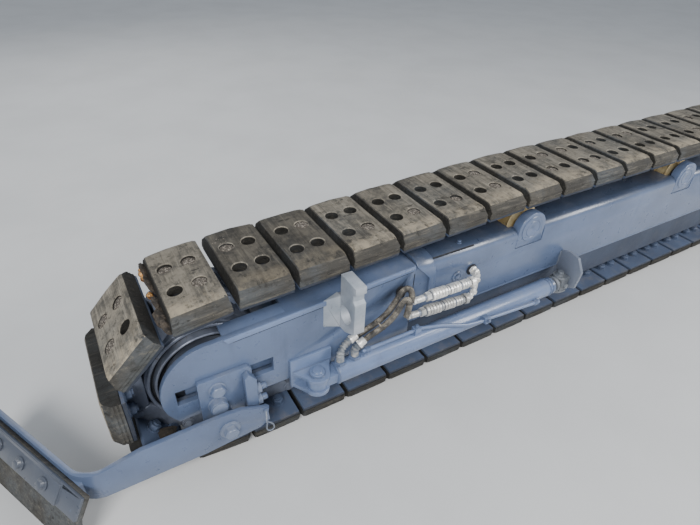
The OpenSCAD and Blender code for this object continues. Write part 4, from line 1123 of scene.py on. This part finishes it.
class UNIT_OT_hydraulic_lines(bpy.types.Operator):
    """Braided hoses, ribbed port elbows and wrapped couplings"""
    bl_idname = "track_unit.hydraulic_lines"
    bl_label = "Hydraulic lines"

    def execute(self, context):
        sleeves = [rippled(name, points, 12.0, 8.4, 0.36) for name, points in (
            ("elbow_a", [(-345, 175, 238), (-345, 175, 256), (-349, 172, 270), (-364, 166, 281), (-390, 158, 286)]),
            ("elbow_b", [(-393, 175, 238), (-393, 175, 258), (-397, 178, 270), (-407, 180, 281)]))]
        dress(joined("port_elbow_sleeves", sleeves), "sleeve_rubber")
        inlets = [tube(name, [at(*p) for p in points], 7.6, sides=16) for name, points in (
            ("inlet_a", ((-808, 183, 362.8), (-817, 182, 363), (-830, 172, 365), (-839, 156, 367), (-841, 128, 366))),
            ("inlet_b", ((-788, 191, 310), (-803, 190, 318), (-815, 186, 335), (-824, 176, 352), (-833, 162, 361))))]
        for a, d, r, length in (((-841, 150, 366.5), (0.1, 1, 0), 12.6, 11), ((-840, 138, 366.5), (0, 1, 0), 14.5, 8),
                                ((-833, 166, 360), (-0.5, -0.6, 0.4), 12.6, 11),
                                ((-824, 178, 364), (0.7, 0.6, -0.1), 11.8, 12),
                                ((-812, 187, 330), (0.35, 0.15, -0.9), 11.8, 12),
                                ((-790, 191, 311), (-0.85, 0, 0.5), 12.2, 10)):
            inlets.append(turned("inlet_nut", nut(r, length, 1.2), at(*a), d, 6, 20))
        for a, d in (((-390, 158, 286), (-0.95, -0.02, 0.3)), ((-406, 180, 280), (-0.85, 0, 0.5))):
            inlets.append(turned("ferrule", [(0, -6), (12.4, -6), (13.2, -5), (13.2, 1), (11.4, 2), (11.4, 16),
                                             (10.2, 18), (0, 18)], at(*a), d, 24))
        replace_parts(dress(joined("inlet_elbows", inlets), "zinc_fitting"), "port_elbows")

        cores = []
        for i, (a, tilt) in enumerate((((-576, 183, 371), 2.0), ((-556, 191, 328), 4.5))):
            d = (math.cos(math.radians(tilt)), 0, math.sin(math.radians(tilt)))

            def along(t):
                return at(*[a[k] - t * d[k] for k in range(3)])

            cores.append(rod(f"coupling_core_{i}", along(2), along(228), 9.2, 20))
            cores.append(rod(f"coupling_waist_{i}", along(64), along(205), 13.2, 24))
            rings = [turned("band", nut(r, high - low, 0.9, 1.0, r - 5), along(low), (-d[0], 0, -d[2]), sides, 25)
                     for low, high, r, sides in COUPLING]
            piece = dress(joined(f"coupling_bands_{i}", rings), "zinc_dull" if i else "zinc_fitting")
            if not i:
                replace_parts(piece, "hose_couplings")
        dress(joined("coupling_cores", cores), "greasy_steel")
        lines = [rippled(name, points, 9.4, 3.2, 0.10) for name, points in (
            ("hose_a", [(-400, 158, 289), (-424, 158, 296), (-452, 157, 304), (-484, 157, 318), (-512, 157, 338),
                        (-536, 157, 370), (-552, 158, 396), (-565, 163, 408), (-573, 172, 404), (-573, 181, 388),
                        (-570, 183, 373)]),
            ("hose_b", [(-417, 180, 286), (-440, 180, 296), (-472, 181, 309), (-502, 181, 326), (-524, 181, 350),
                        (-540, 182, 378), (-551, 188, 391), (-556, 193, 378), (-555, 193, 354), (-553, 191, 330)]))]
        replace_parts(dress(joined("braided_hoses", lines), "hose_cover"), "hoses")
        spot = (-478, 169, 312)
        tie = fitted("hose_tie", [(19, -2.2), (21, -2.2), (21, 2.2), (19, 2.2)], spot, (-0.9, 0, 0.45),
                     "hose_cover", 26)
        tie.data.transform(Matrix.Translation(at(*spot)) @ Matrix.Diagonal((0.9, 1.08, 0.62, 1))
                           @ Matrix.Translation(-at(*spot)))
        return {"FINISHED"}


class UNIT_OT_eye_plate(bpy.types.Operator):
    """Lashing eye on the nose section"""
    bl_idname = "track_unit.eye_plate"
    bl_label = "Eye plate"

    def execute(self, context):
        from_cad("eye_bracket", 2.0, "cast_steel")
        weld("eye_weld_0", (-386, 135, 346), (-386, 135, 424), 3.2, "cast_steel")
        weld("eye_weld_1", (-350, 135, 350), (-314, 135, 349), 3.2, "cast_steel")
        return {"FINISHED"}


class UNIT_OT_deflector(bpy.types.Operator):
    """Hinged arm with its blade, skirt and clamp in front of the track"""
    bl_idname = "track_unit.deflector"
    bl_label = "Deflector"

    def execute(self, context):
        for node, edge, finish in (("deflector_arm", 1.5, "frame_paint"), ("deflector_clamp", 1.5, "blade_paint"),
                                   ("deflector_skirt", 1.5, "skirt_rubber"), ("clamp_bolts", 0.8, "blade_paint"),
                                   ("pivot_bolt", 1.2, "bolt_paint")):
            from_cad(node, edge, finish)
        arm, bolt = (frame["nodes"][node]["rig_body"] for node in ("deflector_arm", "pivot_bolt"))
        x, z = PIVOT
        fitted("pivot_ring", washer(28, 2.6, 1.4), (x, 188, z), (0, 1, 0), "bolt_paint", 44, body=arm)
        fitted("pivot_crown", [(0, 0), (15.6, 0), (14.2, 1.6), (0, 2.2)], (x, 206.6, z), (0, 1, 0), "bolt_paint", 30,
               body=bolt)
        stud = rippled("clip_stud", [(-110, 182, 176), (-110, 182, 150), (-109, 182, 122)], 6.5, 3.0, 0.09)
        dress(stud, "cast_steel", arm)
        fitted("clip_head", nut(11.5, 10), (-110, 182, 172), (0, 0, 1), "frame_paint", 6, 20, arm)
        wire = ((-110, 189, 126), (-121, 190, 116), (-128, 190, 100), (-126, 190, 88), (-115, 190, 86),
                (-108, 190, 96), (-108, 190, 112), (-110, 189, 124))
        dress(tube("clip_wire", [at(*p) for p in wire], 2.2), "bracket_paint_lit", arm)
        return {"FINISHED"}


class UNIT_OT_stage(bpy.types.Operator):
    """Pale floor, soft light and the camera"""
    bl_idname = "track_unit.stage"
    bl_label = "Stage"

    def execute(self, context):
        s, scene = context.scene.unit_stage, context.scene
        floor = settle(added("plane", size=60, location=(0, 0, 0)), "floor")
        k = Ink("floor_surface")
        tone = k.noise(2.2, 5).ramp(0.35, 0.7)
        floor.data.materials.append(k.finish(k.mix(tone, tuple(s.floor), shaded(s.floor, 0.94)), 0.7))
        scene.world = bpy.data.worlds.new("studio")
        scene.world.use_nodes = True
        inputs = scene.world.node_tree.nodes["Background"].inputs
        inputs["Color"].default_value, inputs["Strength"].default_value = (0.80, 0.88, 1.0, 1), s.sky

        def placed(name, data, matrix):
            o = bpy.data.objects.new(name, data)
            scene.collection.objects.link(o)
            o.matrix_world = matrix
            return o

        for name, place, aim, size, power in (("key", (2200, 3600, 4200), (0, 0, 200), 2.0, s.key),
                                              ("fill", (-4200, 3000, 3200), (-900, 0, 300), 2.0, s.fill),
                                              ("back", (0, -3800, 3200), (-900, 0, 300), 3.0, s.back)):
            light = bpy.data.lights.new(name, "AREA")
            light.energy, light.size = power, size
            turn = (at(*aim) - at(*place)).to_track_quat("-Z", "Y").to_matrix().to_4x4()
            placed(name, light, Matrix.Translation(at(*place)) @ turn)
        cam = bpy.data.cameras.new("camera")
        cam.lens, cam.sensor_width, cam.clip_end = s.lens, 36, 100
        m = Matrix((CAMERA_RIGHT, -CAMERA_DOWN, -CAMERA_RIGHT.cross(CAMERA_DOWN))).transposed().to_4x4()
        m.translation = at(*s.camera)
        scene.camera = placed("camera", cam, m)
        return {"FINISHED"}


# ---------------------------------------------------------------- settings and panel

def length(name, description, default):
    return bpy.props.FloatProperty(name=name, description=description, default=default, unit="LENGTH")


def colour(name, description, default):
    return bpy.props.FloatVectorProperty(name=name, description=description, subtype="COLOR", size=3, min=0, max=1,
                                         default=default)


def power(name, description, default):
    return bpy.props.FloatProperty(name=name, description=description, default=default, min=0, subtype="POWER")


class TrackSizes(bpy.types.PropertyGroup):
    pitch: length("Pitch", "Distance from pin to pin", 0.1556)
    shoes: bpy.props.IntProperty(name="Shoes", description="Number of shoes in the loop", default=43, min=30, max=60)
    pin_height: length("Pin height", "Pin line above the ground", 0.074)
    carrier_line: length("Carrier line", "Pin line above the ground at the carriers", 0.5263)
    link_gauge: length("Link gauge", "Between the two link rows", 0.098)
    cap_half: length("Cap half width", "Half the width of a carrier cap", 0.060)
    pad_width: length("Pad width", "Across the track", 0.300)
    pad_length: length("Pad length", "Along the track", 0.143)
    pad_thickness: length("Pad thickness", "Rubber over the steel shoe", 0.0437)
    end_bevel: length("End bevel", "Width of the end bevels", 0.016)
    end_bevel_height: length("End bevel height", "Height of the end bevels", 0.020)
    hole_radius: length("Hole radius", "Bolt holes of a pad", 0.019)
    hole_along: length("Hole place along", "From the pad's middle, along the track", 0.030)
    hole_across: length("Hole place across", "From the pad's middle, across the track", 0.049)
    nut_across: length("Nut place across", "Shoe nuts from the middle of the track", 0.082)
    nose_radius: length("Nose radius", "Rounded front of the track frame", 0.135)
    nose_rise: length("Nose rise", "Nose centre above the idler axle", 0.008)
    packed_share: bpy.props.FloatProperty(name="Packed holes", description="Share of the holes packed with grit",
                                          default=0.4, min=0, max=1, subtype="FACTOR")


class FinishColours(bpy.types.PropertyGroup):
    paint: colour("Paint", "Blue-grey of the frame", (0.099, 0.135, 0.222))
    rubber: colour("Rubber", "Dark rubber of the pads", (0.052, 0.048, 0.041))
    rubber_worn: colour("Worn rubber", "Dusty, rubbed rubber", (0.178, 0.158, 0.124))


class StageSettings(bpy.types.PropertyGroup):
    floor: colour("Floor", "Colour of the floor", (0.62, 0.62, 0.61))
    sky: bpy.props.FloatProperty(name="Sky", description="Strength of the surrounding light", default=0.5, min=0)
    key: power("Key", "Power of the key light", 310)
    fill: power("Fill", "Power of the fill light", 190)
    back: power("Back", "Power of the back light", 60)
    lens: bpy.props.FloatProperty(name="Lens", description="Focal length in millimetres on a 36 mm sensor",
                                  default=26.35, min=1)
    camera: bpy.props.FloatVectorProperty(name="Camera", description="Camera place in unit millimetres", size=3,
                                          default=(177.15, 1054.93, 1312.13))


GROUPS = {"unit_track": TrackSizes, "unit_finish": FinishColours, "unit_stage": StageSettings}
STEPS = (UNIT_OT_stage, UNIT_OT_rubber_pads, UNIT_OT_track_links, UNIT_OT_wheels, UNIT_OT_frame_sections,
         UNIT_OT_idler_slides, UNIT_OT_tension_cylinder, UNIT_OT_hydraulic_lines, UNIT_OT_eye_plate,
         UNIT_OT_deflector)


class UNIT_PT_panel(bpy.types.Panel):
    """Lists the pieces of the track unit"""
    bl_label = "Track Unit"
    bl_idname = "UNIT_PT_panel"
    bl_space_type = "VIEW_3D"
    bl_region_type = "UI"
    bl_category = "Track Unit"

    def draw(self, context):
        for key, group in GROUPS.items():
            for prop in group.__annotations__:
                self.layout.prop(getattr(context.scene, key), prop)
        for step in STEPS:
            self.layout.operator(step.bl_idname)


def register():
    for key, group in GROUPS.items():
        bpy.utils.register_class(group)
        setattr(bpy.types.Scene, key, bpy.props.PointerProperty(type=group))
    for c in (*STEPS, UNIT_PT_panel):
        bpy.utils.register_class(c)


def unregister():
    for c in reversed((*STEPS, UNIT_PT_panel)):
        bpy.utils.unregister_class(c)
    for key, group in GROUPS.items():
        delattr(bpy.types.Scene, key)
        bpy.utils.unregister_class(group)


def main():
    register()
    for step in STEPS:
        group, name = step.bl_idname.split(".")
        getattr(getattr(bpy.ops, group), name)()


if __name__ == "__main__":
    main()
